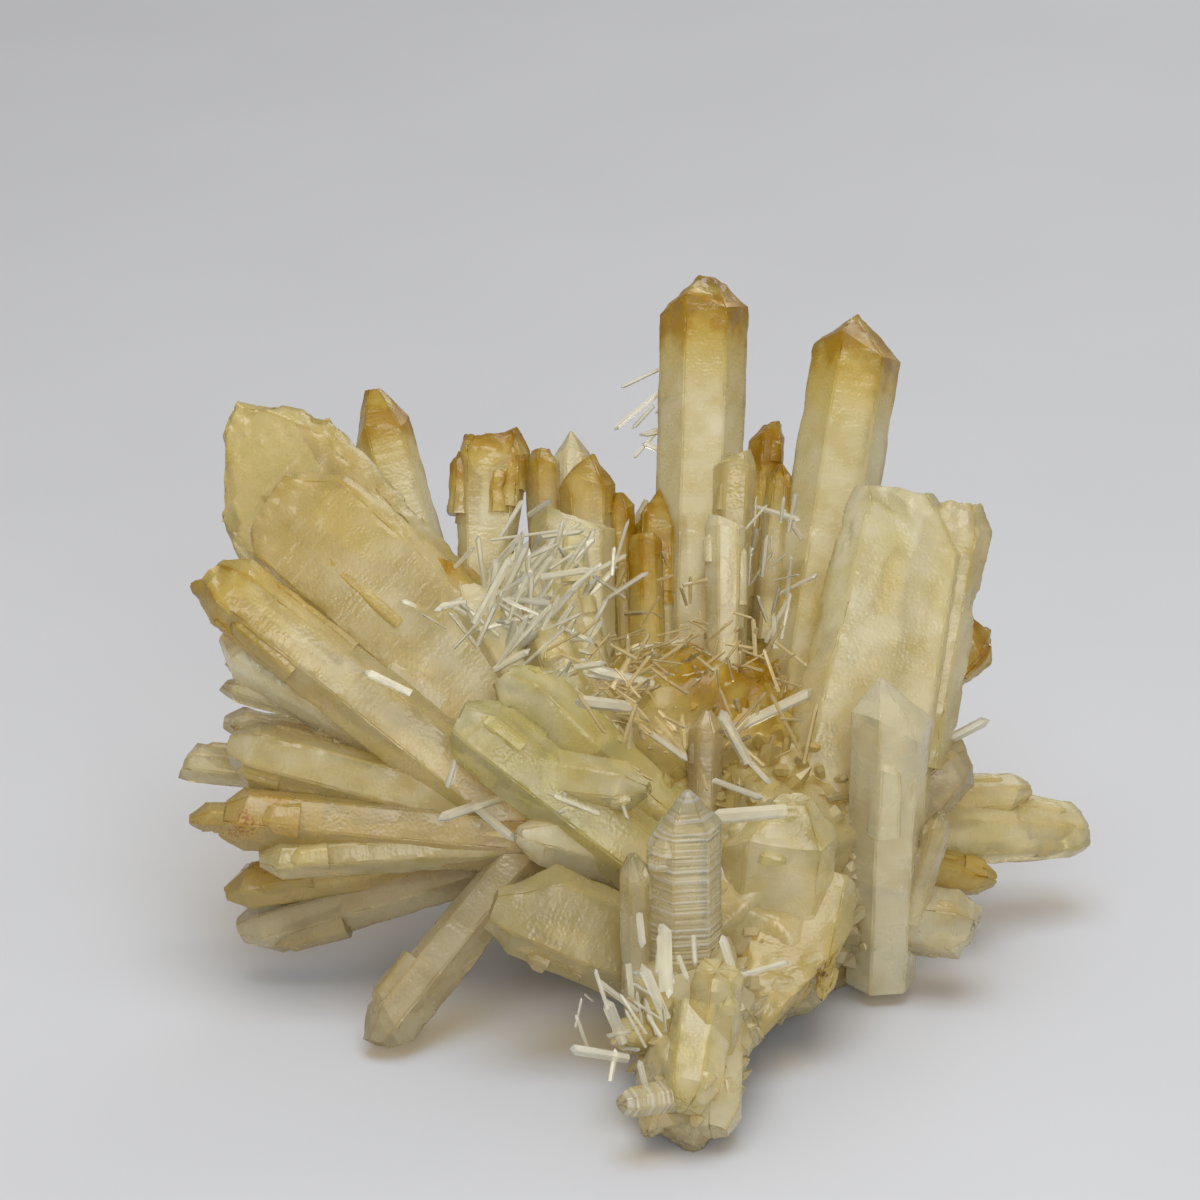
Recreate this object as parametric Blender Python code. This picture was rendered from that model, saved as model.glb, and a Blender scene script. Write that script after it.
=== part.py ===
"""Mango quartz cluster: crystals that grew together, as one solid standing on a small flat spot.

Every crystal is placed as it is seen from the front viewpoint, in millimetres: right, up and near.
Right and up are measured on the plane through the aim point, and near is how far a point stands out
from that plane toward the viewer. from_view turns the three into world metres.
"""

import math
from dataclasses import dataclass

import bmesh
import bpy
import numpy as np
from mathutils import Vector

NODE = "quartz_cluster"
MM = 0.001

# The front viewpoint: its height above the horizon, its distance and the point that it looks at.
VIEW_ELEVATION_DEG = 22.0
VIEW_DISTANCE_MM = 700.0
VIEW_AIM_MM = (-12.0, 10.0, 55.0)

# Where the crystals meet, which the hidden ones at the back and underneath point away from.
HEART_MM = (-4.0, 0.0, 25.0)

# A quartz point has three large end faces and three small ones.
END_FACE_SWING = 0.16
# The smallest share of a section kept at a sharp tip, so that no face is a sliver.
SHARPEST = 0.08

# Everything under this height is cut off flat, which leaves the spot that the cluster rests on.
FLOOR_CUT_DEPTH_MM = 30.0

PALE_STRAW = (0.62, 0.52, 0.27, 1.0)


@dataclass(frozen=True)
class Crystal:
    """One hexagonal crystal, in mm.

    tip and root are its two ends, width and depth its section, point the length of its sloping end,
    lean the apex's place as shares of the half width and half depth, blunt the share of the section
    left at the end, tilt how much the end's right side stands above its left, flare the root's
    section over the tip's, and turn the angle in degrees about its own axis.
    """

    tip: tuple[float, float, float]
    root: tuple[float, float, float]
    width: float
    depth: float
    point: float = 5.0
    lean: tuple[float, float] = (0.0, 0.0)
    blunt: tuple[float, float] = (SHARPEST, SHARPEST)
    tilt: float = 0.0
    flare: float = 1.0
    turn: float = 0.0


@dataclass(frozen=True)
class Hidden:
    """One crystal that the front view doesn't show, by its compass bearing and rise from the heart.

    Bearing is in degrees counterclockwise from +X, so 90 points away from the viewer.
    """

    bearing: float
    rise: float
    reach: float
    width: float
    depth: float
    point: float = 6.0
    start: tuple[float, float, float] = HEART_MM
    blunt: tuple[float, float] = (SHARPEST, SHARPEST)
    turn: float = 0.0


@dataclass(frozen=True)
class Lump:
    """One rounded lump of the grown-together middle: its centre, its half sizes and its roughness."""

    centre: tuple[float, float, float]
    half: tuple[float, float, float]
    rough: float = 0.08


# The tall amber-tipped points at the back.
TALL = (
    Crystal((15.2, 47.0, -20), (13.4, -22.0, -8), 13.4, 12.4, 5.5, (0.0, 0.1), (0.16, 0.14), 0.0, 0.95, 2),
    Crystal((38.0, 40.6, -22), (28.6, -18.0, -9), 13.8, 12.4, 5.5, (0.2, 0.1), (0.1, 0.1), -0.6, 0.95, 4),
    Crystal((-33.4, 30.4, -27), (-22.5, -10.0, -18), 9.8, 8.0, 7.0, (-0.1, 0.0), (0.25, 0.2), 0.0, 1.1, 10),
)

# The broad blades and long points on the upper left.
UPPER_LEFT = (
    Crystal((-54.6, 25.4, -15), (-5.6, -25.6, -9), 25.0, 7.5, 12.0, (-0.12, 0.0), (0.22, 0.5), -1.5, 0.9, 0),
    Crystal((-47.2, 14.8, -6), (3.0, -30.0, 0), 21.5, 8.5, 5.5, (0.1, 0.2), (0.5, 0.5), -1.0, 0.9, 4),
    Crystal((-56.6, 3.8, 7), (-8.0, -35.0, 6), 11.2, 9.5, 4.0, (0.0, 0.0), (0.55, 0.5), 0.8, 1.0, 8),
    Crystal((-55.4, -6.2, 1), (-14.0, -31.0, 2), 6.8, 8.0, 3.5, (-0.3, 0.0), (0.2, 0.4), 0.0, 1.0, 10),
    Crystal((-54.6, -12.2, -7), (-20.0, -22.0, -6), 4.4, 4.6, 2.2, (0.0, 0.0), (0.5, 0.5), 0.5, 1.1, 0),
    Crystal((-54.4, -17.2, -8), (-18.0, -25.0, -6), 4.8, 5.0, 2.4, (0.2, 0.0), (0.4, 0.4), 0.0, 1.1, 15),
)

# The shorter points that fan out on the lower left.
LOWER_LEFT = (
    Crystal((-53.8, -21.4, 3), (-14.0, -32.0, 5), 10.2, 9.0, 4.0, (0.0, 0.1), (0.5, 0.5), -0.5, 1.0, 12),
    Crystal((-60.0, -23.4, -7), (-18.0, -28.0, -4), 6.0, 6.0, 1.6, (0.1, 0.0), (0.75, 0.7), 0.8, 1.1, 5),
    Crystal((-54.6, -31.4, 8), (-10.0, -35.5, 8), 9.8, 9.0, 3.0, (0.0, 0.0), (0.6, 0.55), 0.6, 0.95, 20),
    Crystal((-59.4, -31.4, 5), (-40.0, -32.0, 6), 4.6, 5.0, 2.2, (0.2, 0.0), (0.35, 0.35), 0.0, 1.2, 0),
    Crystal((-49.2, -37.6, 9), (-12.0, -34.8, 8), 6.4, 6.6, 2.8, (0.0, 0.0), (0.35, 0.35), 0.0, 1.25, 0),
    Crystal((-54.2, -42.0, 0), (-16.0, -36.0, 1), 7.2, 6.6, 3.4, (0.2, 0.1), (0.3, 0.3), 0.0, 1.0, 25),
    Crystal((-51.8, -48.6, -5), (-14.0, -37.5, 2), 8.6, 8.2, 4.0, (-0.2, 0.0), (0.45, 0.4), 0.0, 0.9, 8),
    Crystal((-32.6, -64.0, 14.5), (-10.0, -36.0, 8), 8.8, 8.4, 3.6, (0.1, 0.0), (0.5, 0.5), -0.8, 0.9, 14),
)

# The yellow-green points that lie across the front left, and the shield-like one under them.
FRONT_LEFT = (
    Crystal((-20.4, -17.0, 15), (8.0, -39.0, 13), 11.2, 9.0, 3.4, (0.1, 0.1), (0.6, 0.5), -0.8, 1.0, 10),
    Crystal((-14.0, -10.6, 8), (8.0, -32.0, 6), 11.4, 8.6, 4.6, (0.0, 0.2), (0.4, 0.4), 0.0, 1.1, -12),
    Crystal((7.0, -27.4, 19), (-7.0, -25.6, 14), 7.0, 6.4, 3.0, (0.0, 0.0), (0.3, 0.3), 0.0, 1.2, 0),
    Crystal((-15.0, -42.6, 24), (12.0, -54.0, 18), 14.6, 9.4, 5.5, (0.3, 0.1), (0.4, 0.3), 0.0, 1.0, 8),
    Crystal((-12.0, -34.0, 16), (6.0, -38.0, 10), 7.5, 7.0, 3.5, (0.0, 0.0), (0.4, 0.4), 0.0, 1.2, 20),
)

# The clear point in the middle of the front with its side crystals, and the toe that reaches the floor.
FRONT_TOE = (
    Crystal((12.2, -27.4, 35), (12.2, -58.0, 27), 10.8, 10.0, 6.0, (-0.05, 0.2), (0.1, 0.1), 0.0, 1.0, 10),
    Crystal((5.2, -37.0, 33), (6.0, -58.0, 26), 4.8, 5.6, 3.0, (0.2, 0.0), (0.3, 0.3), 0.0, 1.2, 0),
    Crystal((17.0, -53.6, 43), (16.0, -68.0, 36), 7.8, 7.2, 1.6, (0.0, 0.0), (0.8, 0.75), 0.4, 1.05, 12),
    Crystal((8.2, -56.5, 39), (10.0, -69.0, 34), 4.2, 4.6, 2.0, (0.0, 0.0), (0.4, 0.4), 0.0, 1.2, 0),
    Crystal((3.2, -73.0, 47), (18.0, -70.5, 40), 4.6, 5.0, 1.4, (0.0, 0.0), (0.6, 0.6), 0.0, 1.2, 0),
    Crystal((16.4, -77.0, 42), (15.0, -56.0, 32), 9.0, 8.5, 2.6, (-0.1, 0.0), (0.6, 0.6), 0.6, 1.4, 30),
    Crystal((7.0, -77.4, 42), (11.0, -64.0, 34), 3.6, 4.0, 1.2, (0.0, 0.0), (0.6, 0.6), 0.0, 2.4, 0),
    Crystal((1.6, -63.5, 38), (12.0, -62.0, 32), 5.0, 5.4, 2.6, (0.0, 0.2), (0.4, 0.4), 0.0, 1.5, 0),
    Crystal((21.4, -66.0, 37), (12.0, -60.0, 33), 8.0, 7.0, 2.6, (0.0, 0.0), (0.5, 0.5), 0.0, 1.2, 10),
    Crystal((12.8, -73.5, 46), (15.0, -60.0, 38), 8.0, 7.0, 2.4, (0.0, 0.0), (0.6, 0.6), 0.0, 1.2, 15),
)

# The pale and clear points on the right of the front.
FRONT_RIGHT = (
    Crystal((27.0, -28.2, 22), (24.5, -50.0, 13), 16.6, 10.5, 6.5, (-0.1, 0.2), (0.34, 0.3), 0.0, 1.0, 4),
    Crystal((24.6, -64.0, 24), (29.5, -40.0, 13), 16.5, 8.0, 11.0, (-0.45, 0.0), (0.35, 0.4), 0.0, 1.0, 2),
    Crystal((42.4, -11.2, 15), (40.6, -55.0, -4), 12.2, 11.0, 6.2, (0.3, 0.1), (0.1, 0.1), 0.0, 0.85, 10),
    Crystal((49.4, -31.0, 8), (45.0, -46.0, 2), 3.8, 4.0, 2.0, (0.0, 0.0), (0.3, 0.3), 0.0, 1.3, 0),
    Crystal((54.6, -47.4, 2), (36.0, -45.0, -4), 10.6, 9.0, 2.4, (0.0, 0.1), (0.6, 0.6), 1.2, 1.1, 10),
    Crystal((53.4, -22.0, -5), (34.0, -40.0, -8), 9.0, 8.0, 3.0, (0.0, 0.1), (0.5, 0.5), 0.8, 1.2, 8),
    Crystal((69.8, -33.4, -25), (40.0, -32.0, -15), 8.4, 8.6, 1.8, (0.0, 0.0), (0.75, 0.7), -0.6, 2.0, 12),
    Crystal((62.0, -28.2, -20), (34.0, -30.0, -12), 6.4, 6.4, 3.0, (0.2, 0.0), (0.4, 0.4), 0.0, 1.5, 0),
    Crystal((57.6, -40.6, -14), (34.0, -36.0, -10), 6.0, 6.4, 2.8, (0.0, 0.0), (0.4, 0.4), 0.0, 1.4, 15),
)

# The large blade on the right, with the druse-covered strip that grew along its far edge.
RIGHT_BLADE = (
    Crystal((45.4, 15.2, -5), (34.0, -40.0, 0), 19.5, 9.5, 5.6, (0.3, 0.1), (0.6, 0.5), -0.6, 1.25, 8),
    Crystal((51.8, 13.8, -7), (45.0, -24.0, -4), 11.6, 8.5, 3.4, (0.0, 0.1), (0.6, 0.5), -1.0, 1.0, -2),
    Crystal((56.0, -3.6, -12), (34.0, -24.0, -8), 9.6, 7.4, 3.4, (0.2, 0.0), (0.5, 0.5), -0.6, 1.1, 0),
)

# The short points between the tall ones and round the hollow.
INNER = (
    Crystal((19.6, 21.0, -9), (18.0, -14.0, -6), 6.3, 5.4, 1.6, (0.0, 0.0), (0.7, 0.6), -1.0, 0.95, 5),
    Crystal((18.2, 11.8, -3), (18.0, -24.0, -2), 6.4, 5.8, 1.2, (0.0, 0.0), (0.75, 0.7), 0.5, 0.75, 8),
    Crystal((26.2, 20.0, -16), (24.0, -6.0, -12), 4.2, 4.2, 2.4, (0.0, 0.0), (0.2, 0.2), 0.0, 1.2, 0),
    Crystal((24.4, 25.6, -24), (23.0, 0.0, -18), 5.8, 5.4, 2.4, (-0.2, 0.0), (0.5, 0.5), 0.0, 1.0, 12),
    Crystal((-15.6, 24.4, -16), (-17.4, -10.0, -10), 12.6, 7.5, 3.4, (0.0, 0.0), (0.66, 0.5), -0.8, 0.4, 4),
    Crystal((-8.6, 21.8, -19), (-7.0, -6.0, -12), 5.8, 5.4, 2.2, (0.0, 0.0), (0.5, 0.5), 0.0, 0.9, 20),
    Crystal((-4.2, 24.4, -25), (-4.0, -4.0, -16), 6.0, 5.6, 4.0, (0.0, 0.0), (0.12, 0.12), 0.0, 1.0, 10),
    Crystal((-2.0, 20.0, -13), (-1.0, -8.0, -8), 8.8, 6.6, 3.6, (0.1, 0.0), (0.4, 0.4), -1.2, 0.85, 0),
    Crystal((-4.2, 12.8, -6), (-3.0, -18.0, -2), 13.0, 8.4, 2.6, (0.2, 0.0), (0.6, 0.5), 1.4, 0.85, 4),
    Crystal((2.8, 15.4, -12), (4.0, -14.0, -8), 4.6, 4.8, 2.2, (0.0, 0.0), (0.3, 0.3), 0.0, 1.0, 0),
    Crystal((6.6, 9.4, -6), (7.0, -18.0, -2), 5.2, 5.2, 1.0, (0.0, 0.0), (0.8, 0.8), 0.0, 1.1, 10),
    Crystal((6.6, 14.8, -17), (7.0, -8.0, -12), 4.2, 4.6, 3.0, (0.0, 0.0), (0.15, 0.15), 0.0, 1.1, 0),
    Crystal((-8.0, -3.0, 2), (-2.0, -22.0, 2), 9.0, 8.0, 3.0, (0.0, 0.0), (0.4, 0.4), 0.0, 1.3, 0),
    Crystal((-19.5, 2.0, -2), (-6.0, -22.0, -2), 9.0, 8.0, 3.0, (0.0, 0.0), (0.4, 0.4), 0.4, 1.1, 12),
    Crystal((-12.5, 6.5, -4), (-4.0, -22.0, -4), 9.5, 8.0, 3.0, (0.1, 0.0), (0.5, 0.4), 0.0, 1.1, 0),
    Crystal((-4.6, 2.0, -1), (0.0, -22.0, 0), 8.0, 7.0, 2.6, (0.0, 0.0), (0.4, 0.4), -0.4, 1.2, 20),
    Crystal((15.4, -16.0, 8), (15.0, -34.0, 6), 5.0, 5.0, 2.4, (0.0, 0.0), (0.3, 0.3), 0.0, 1.2, 0),
)

# Crystals behind and below, which the front view hides. The real ones there aren't known.
BACK = (
    Hidden(168, 24, 50, 11.0, 9.5, 7.0),
    Hidden(152, 40, 54, 13.0, 9.0, 8.0, turn=20),
    Hidden(146, 8, 50, 9.5, 9.0, 6.0),
    Hidden(128, 24, 55, 12.5, 10.5, 8.0, turn=10),
    Hidden(118, 46, 52, 10.0, 9.0, 6.5),
    Hidden(112, 4, 47, 9.0, 8.5, 6.0, blunt=(0.5, 0.5)),
    Hidden(100, 30, 56, 14.0, 11.0, 8.0, turn=-12),
    Hidden(88, 54, 50, 8.5, 8.0, 6.0),
    Hidden(82, 12, 52, 11.0, 9.5, 7.0, turn=15),
    Hidden(68, 36, 54, 12.0, 10.0, 7.5),
    Hidden(58, 8, 50, 10.0, 9.0, 6.5, turn=25),
    Hidden(48, 28, 52, 11.5, 8.5, 7.0),
    Hidden(34, 4, 50, 9.0, 8.5, 6.0, blunt=(0.45, 0.45)),
    Hidden(24, 22, 47, 11.0, 9.0, 6.5, turn=-10),
    Hidden(184, 4, 47, 8.0, 8.0, 5.0),
    Hidden(96, -12, 34, 10.0, 9.0, 5.0, blunt=(0.5, 0.5)),
    Hidden(164, -16, 39, 9.0, 8.0, 4.5, turn=10),
    Hidden(139, -13, 43, 10.0, 8.5, 5.0),
    Hidden(118, -18, 39, 8.5, 8.0, 4.0, blunt=(0.3, 0.3)),
    Hidden(75, -13, 41, 9.5, 8.5, 5.0, turn=-15),
    Hidden(52, -16, 40, 9.0, 8.0, 4.5),
    Hidden(30, -18, 39, 8.5, 8.0, 4.0, turn=20),
)

# The grown-together middle, and the stem that runs forward under it to the toe.
MIDDLE = (
    Lump((-4.0, 6.0, 22.0), (24.0, 20.0, 16.0)),
    Lump((0.0, 8.0, 5.0), (19.0, 17.0, 11.0)),
    Lump((14.0, 4.0, 24.0), (17.0, 17.0, 15.0)),
    Lump((-16.0, 2.0, 25.0), (13.0, 13.0, 11.0)),
    Lump((2.0, 10.0, 34.0), (19.0, 14.0, 12.0)),
    Lump((19.0, 6.0, 10.0), (12.0, 12.0, 12.0)),
    Lump((6.0, -14.0, 17.0), (14.0, 13.0, 12.0)),
    Lump((9.0, -17.0, 13.0), (11.0, 12.0, 12.5), 0.1),
    Lump((19.0, -3.0, 13.0), (12.0, 10.0, 12.5), 0.1),
    Lump((3.0, -25.0, 9.0), (9.5, 14.0, 9.5)),
    Lump((1.0, -36.0, 12.0), (9.0, 13.0, 9.0)),
    Lump((0.5, -45.0, 8.0), (7.5, 10.0, 7.0), 0.12),
    Lump((0.0, -51.0, 5.0), (5.6, 6.2, 5.8), 0.14),
)


def from_view(right: float, up: float, near: float) -> Vector:
    """The world point, in metres, of a point placed as the front viewpoint sees it."""
    rise = math.radians(VIEW_ELEVATION_DEG)
    shrink = (VIEW_DISTANCE_MM - near) / VIEW_DISTANCE_MM
    up_way = Vector((0.0, math.sin(rise), math.cos(rise)))
    near_way = Vector((0.0, -math.cos(rise), math.sin(rise)))
    across = Vector((right * shrink, 0.0, 0.0))
    return (Vector(VIEW_AIM_MM) + across + up_way * (up * shrink) + near_way * near) * MM


def hexagon(width: float, depth: float) -> np.ndarray:
    """Six corners of a quartz section, whose wide faces are square to its depth."""
    inner = width / 2 - depth / 2 * math.tan(math.radians(30))
    inner = max(inner, width * 0.2)
    half = depth / 2
    right = width / 2
    return np.array(
        [(right, 0), (inner, half), (-inner, half), (-right, 0), (-inner, -half), (inner, -half)]
    )


def end_heights(corners: np.ndarray, apex: np.ndarray, length: float, point: float) -> np.ndarray:
    """How far along the axis each corner's edge runs before the sloping end begins."""
    away = np.linalg.norm(corners - apex, axis=1)
    swing = 1 + END_FACE_SWING * np.array([1, -1, 1, -1, 1, -1])
    return length - np.minimum(point * swing * away / away.mean(), length * 0.8)


def axes_of(root: Vector, tip: Vector, faces: Vector, turn: float) -> np.ndarray:
    """Unit ways across, through and along a crystal whose wide faces look toward the way given."""
    along = (tip - root).normalized()
    through = (faces - along * faces.dot(along)).normalized()
    across = through.cross(along)
    angle = math.radians(turn)
    turned_across = across * math.cos(angle) + through * math.sin(angle)
    turned_through = through * math.cos(angle) - across * math.sin(angle)
    return np.array([turned_across, turned_through, along])


def crystal_mesh(root: Vector, tip: Vector, faces: Vector, shape: Crystal | Hidden) -> bpy.types.Mesh:
    """A closed hexagonal crystal: a root ring, a ring where the end begins, and a small end ring."""
    size = np.array([shape.width, shape.depth]) * MM
    length = (tip - root).length
    lean = np.array(getattr(shape, "lean", (0.0, 0.0))) * size / 2
    flare = getattr(shape, "flare", 0.85)
    tilt = getattr(shape, "tilt", 0.0) * MM
    corners = hexagon(*size)
    heights = end_heights(corners, lean, length, shape.point * MM)
    swell = flare + (1 - flare) * heights / length
    end = lean + corners * np.array(shape.blunt)
    end_height = length + tilt * corners[:, 0] / (size[0] / 2)
    local = np.vstack(
        [
            np.column_stack([corners * flare, np.zeros(6)]),
            np.column_stack([corners * swell[:, None], heights]),
            np.column_stack([end, end_height]),
        ]
    )
    points = local @ axes_of(root, tip, faces, shape.turn) + np.array(root)
    rings = [[ring * 6 + i for i in range(6)] for ring in range(3)]
    sides = []
    for low, high in zip(rings, rings[1:]):
        sides += [(low[i], low[(i + 1) % 6], high[(i + 1) % 6], high[i]) for i in range(6)]
    mesh = bpy.data.meshes.new("crystal")
    mesh.from_pydata(points.tolist(), [], [*sides, rings[0][::-1], rings[2]])
    return closed_outward(mesh)


def lump_mesh(lump: Lump) -> bpy.types.Mesh:
    """A faceted ball drawn out to the lump's half sizes and roughened by a few slow waves."""
    body = bmesh.new()
    bmesh.ops.create_icosphere(body, subdivisions=2, radius=1.0)
    for vertex in body.verts:
        x, y, z = vertex.co
        wave = math.sin(3.1 * x + 1.7 * z + lump.centre[1]) + math.sin(4.3 * y - 2.3 * x + lump.centre[0])
        swell = 1 + lump.rough * wave
        place = [lump.centre[i] + vertex.co[i] * lump.half[i] * swell for i in range(3)]
        vertex.co = Vector(place) * MM
    mesh = bpy.data.meshes.new("lump")
    body.to_mesh(mesh)
    body.free()
    return closed_outward(mesh)


def closed_outward(mesh: bpy.types.Mesh) -> bpy.types.Mesh:
    """The same mesh in triangles, with every face looking outward."""
    body = bmesh.new()
    body.from_mesh(mesh)
    bmesh.ops.triangulate(body, faces=body.faces)
    bmesh.ops.recalc_face_normals(body, faces=body.faces)
    body.to_mesh(mesh)
    body.free()
    return mesh


def placed(mesh: bpy.types.Mesh, name: str) -> bpy.types.Object:
    """An object that holds the mesh, in the scene."""
    made = bpy.data.objects.new(name, mesh)
    bpy.context.scene.collection.objects.link(made)
    return made


def combined(body: bpy.types.Object, other: bpy.types.Object, operation: str) -> None:
    """Gives the body the exact union or difference with the other object, which is then removed."""
    change = body.modifiers.new("combine", "BOOLEAN")
    change.operation = operation
    change.solver = "EXACT"
    change.object = other
    graph = bpy.context.evaluated_depsgraph_get()
    result = bpy.data.meshes.new_from_object(body.evaluated_get(graph))
    body.modifiers.clear()
    body.data = result
    bpy.data.objects.remove(other)


def shells_of(body: bmesh.types.BMesh) -> list[list[bmesh.types.BMFace]]:
    """The faces of each closed shell, found by walking from face to face over shared edges."""
    shells = []
    seen = set()
    for start in body.faces:
        if start in seen:
            continue
        seen.add(start)
        shell = [start]
        for face in shell:
            near = {other for edge in face.edges for other in edge.link_faces} - seen
            seen |= near
            shell += near
        shells.append(shell)
    return shells


def fill_sealed_voids(mesh: bpy.types.Mesh) -> None:
    """Drops each inward-facing shell, so that the middle is solid where the crystals leave a void."""
    body = bmesh.new()
    body.from_mesh(mesh)
    bmesh.ops.triangulate(body, faces=body.faces)
    for shell in shells_of(body):
        corners = [[loop.vert.co for loop in face.loops] for face in shell]
        volume = sum(a.dot(b.cross(c)) for a, b, c in corners) / 6
        if volume < 0:
            bmesh.ops.delete(body, geom=shell, context="FACES")
    body.to_mesh(mesh)
    body.free()


def floor_block() -> bpy.types.Object:
    """A block that fills everything just below the floor."""
    body = bmesh.new()
    bmesh.ops.create_cube(body, size=1.0)
    for vertex in body.verts:
        vertex.co.x *= 400 * MM
        vertex.co.y *= 400 * MM
        vertex.co.z = (vertex.co.z - 0.5) * FLOOR_CUT_DEPTH_MM * MM
    mesh = bpy.data.meshes.new("floor_block")
    body.to_mesh(mesh)
    body.free()
    return placed(mesh, "floor_block")


def quartz_material() -> bpy.types.Material:
    """Pale straw quartz, satin and slightly see-through."""
    material = bpy.data.materials.new("mango_quartz")
    material.use_nodes = True
    shader = material.node_tree.nodes["Principled BSDF"]
    shader.inputs["Base Color"].default_value = PALE_STRAW
    shader.inputs["Roughness"].default_value = 0.35
    shader.inputs["Metallic"].default_value = 0.0
    shader.inputs["IOR"].default_value = 1.544
    return material


def visible_crystals() -> list[bpy.types.Mesh]:
    """The crystals that the front view shows."""
    rise = math.radians(VIEW_ELEVATION_DEG)
    toward_viewer = Vector((0.0, -math.cos(rise), math.sin(rise)))
    groups = (TALL, UPPER_LEFT, LOWER_LEFT, FRONT_LEFT, FRONT_TOE, FRONT_RIGHT, RIGHT_BLADE, INNER)
    return [
        crystal_mesh(from_view(*crystal.root), from_view(*crystal.tip), toward_viewer, crystal)
        for group in groups
        for crystal in group
    ]


def hidden_crystals() -> list[bpy.types.Mesh]:
    """The crystals at the back and underneath, with their wide faces turned up."""
    made = []
    for crystal in BACK:
        bearing = math.radians(crystal.bearing)
        rise = math.radians(crystal.rise)
        flat = math.cos(rise)
        way = Vector((math.cos(bearing) * flat, math.sin(bearing) * flat, math.sin(rise)))
        root = Vector(crystal.start) * MM
        tip = root + way * (crystal.reach * MM)
        made.append(crystal_mesh(root, tip, Vector((0.0, 0.0, 1.0)), crystal))
    return made


def main() -> None:
    """Builds the cluster as one closed solid."""
    for old in list(bpy.data.objects):
        bpy.data.objects.remove(old)
    cluster = placed(lump_mesh(MIDDLE[0]), NODE)
    pieces = [lump_mesh(lump) for lump in MIDDLE[1:]]
    pieces += visible_crystals() + hidden_crystals()
    for piece in pieces:
        combined(cluster, placed(piece, "piece"), "UNION")
    combined(cluster, floor_block(), "DIFFERENCE")
    fill_sealed_voids(cluster.data)
    cluster.data.name = NODE
    cluster.data.materials.clear()
    cluster.data.materials.append(quartz_material())


main()
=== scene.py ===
"""The looks of the mango quartz cluster: every crystal, needle and crust, its finish, and a plain studio.

Crystals are placed as the front viewpoint sees them, in millimetres: right, up and near. Right and up
are measured on the plane through the aim point, and near is how far a point stands out toward the
viewer. Hidden crystals are placed by bearing and rise from the heart of the cluster.
"""

import logging
import math
from dataclasses import dataclass, field, replace
from enum import Enum, IntEnum
from itertools import product
from typing import ClassVar

import bpy
import numpy as np
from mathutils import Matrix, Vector


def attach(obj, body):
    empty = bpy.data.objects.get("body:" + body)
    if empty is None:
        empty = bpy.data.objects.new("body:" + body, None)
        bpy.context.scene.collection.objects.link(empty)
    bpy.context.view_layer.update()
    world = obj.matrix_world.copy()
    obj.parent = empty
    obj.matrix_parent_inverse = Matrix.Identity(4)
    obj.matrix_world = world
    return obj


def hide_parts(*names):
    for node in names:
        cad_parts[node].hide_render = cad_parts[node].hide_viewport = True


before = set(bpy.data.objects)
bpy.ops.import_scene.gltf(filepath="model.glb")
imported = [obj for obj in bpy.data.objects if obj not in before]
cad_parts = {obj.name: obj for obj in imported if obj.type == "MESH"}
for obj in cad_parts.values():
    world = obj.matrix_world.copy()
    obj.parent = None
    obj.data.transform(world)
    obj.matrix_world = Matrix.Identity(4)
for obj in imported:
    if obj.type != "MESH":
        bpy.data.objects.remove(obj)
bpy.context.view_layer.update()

MM = 0.001
BODY = "root"
CAD_NODE = "quartz_cluster"
QUARTZ_IOR = 1.544
# A regular hexagon's end edges lean in by this much of its half thickness.
HEXAGON_LEAN = math.tan(math.radians(30))
# The lattice noise's hash: each axis's factor, the seed's factor and start, each round's shift and factor.
HASH_AXES = (73856093, 19349663, 83492791)
HASH_SEED = (2654435, 97)
HASH_ROUNDS = ((13, 1274126177), (16, 668265263))
HASH_MASK = 0x7FFFFFFF
HASH_HALF = 0x3FFFFFFF
# Past these limits light paths add no more than grain.
PATH_LIMITS = {
    "max_bounces": 5,
    "diffuse_bounces": 1,
    "glossy_bounces": 1,
    "transmission_bounces": 4,
    "transparent_max_bounces": 4,
}
Spot = tuple[float, float, float]
Colour = tuple[float, float, float, float]

log = logging.getLogger("quartz")


# The viewpoint and the small sums that everything uses


@dataclass(frozen=True)
class Viewpoint:
    """Where the photograph was taken from.

    Attributes:
        rise_deg: Height above the horizon, in degrees.
        distance: Distance from the aim point, in mm.
        aim: The world point in the middle of the picture, in mm.
        lens: Focal length on a 36 mm wide sensor, in mm.
    """

    rise_deg: float = 22.0
    distance: float = 700.0
    aim: Spot = (-12.0, 10.0, 55.0)
    lens: float = 144.9

    @property
    def toward_viewer(self) -> np.ndarray:
        """The unit way from the aim point to the camera."""
        rise = math.radians(self.rise_deg)
        return np.array([0.0, -math.cos(rise), math.sin(rise)])

    @property
    def upward(self) -> np.ndarray:
        """The unit way that looks straight up in the picture."""
        rise = math.radians(self.rise_deg)
        return np.array([0.0, math.sin(rise), math.cos(rise)])

    def place(self, spots: np.ndarray) -> np.ndarray:
        """World points, in metres, of points placed as the viewpoint sees them.

        A point that stands nearer looks bigger, so its right and up shrink by its share of the distance.

        Args:
            spots: Right, up and near of each point, in mm, along the last axis.

        Returns:
            World points in metres, in the same shape.
        """
        spots = np.asarray(spots, float)
        shrink = (self.distance - spots[..., 2:]) / self.distance
        seen = spots * np.concatenate([shrink, shrink, np.ones_like(shrink)], axis=-1)
        return (np.array(self.aim) + self.way(seen)) * MM

    def way(self, seen: np.ndarray) -> np.ndarray:
        """World ways of ways given as right, up and near along the last axis."""
        seen = np.asarray(seen, float)
        right = seen[..., :1] * np.array([1.0, 0.0, 0.0])
        return right + seen[..., 1:2] * self.upward + seen[..., 2:] * self.toward_viewer


VIEW = Viewpoint()


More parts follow.
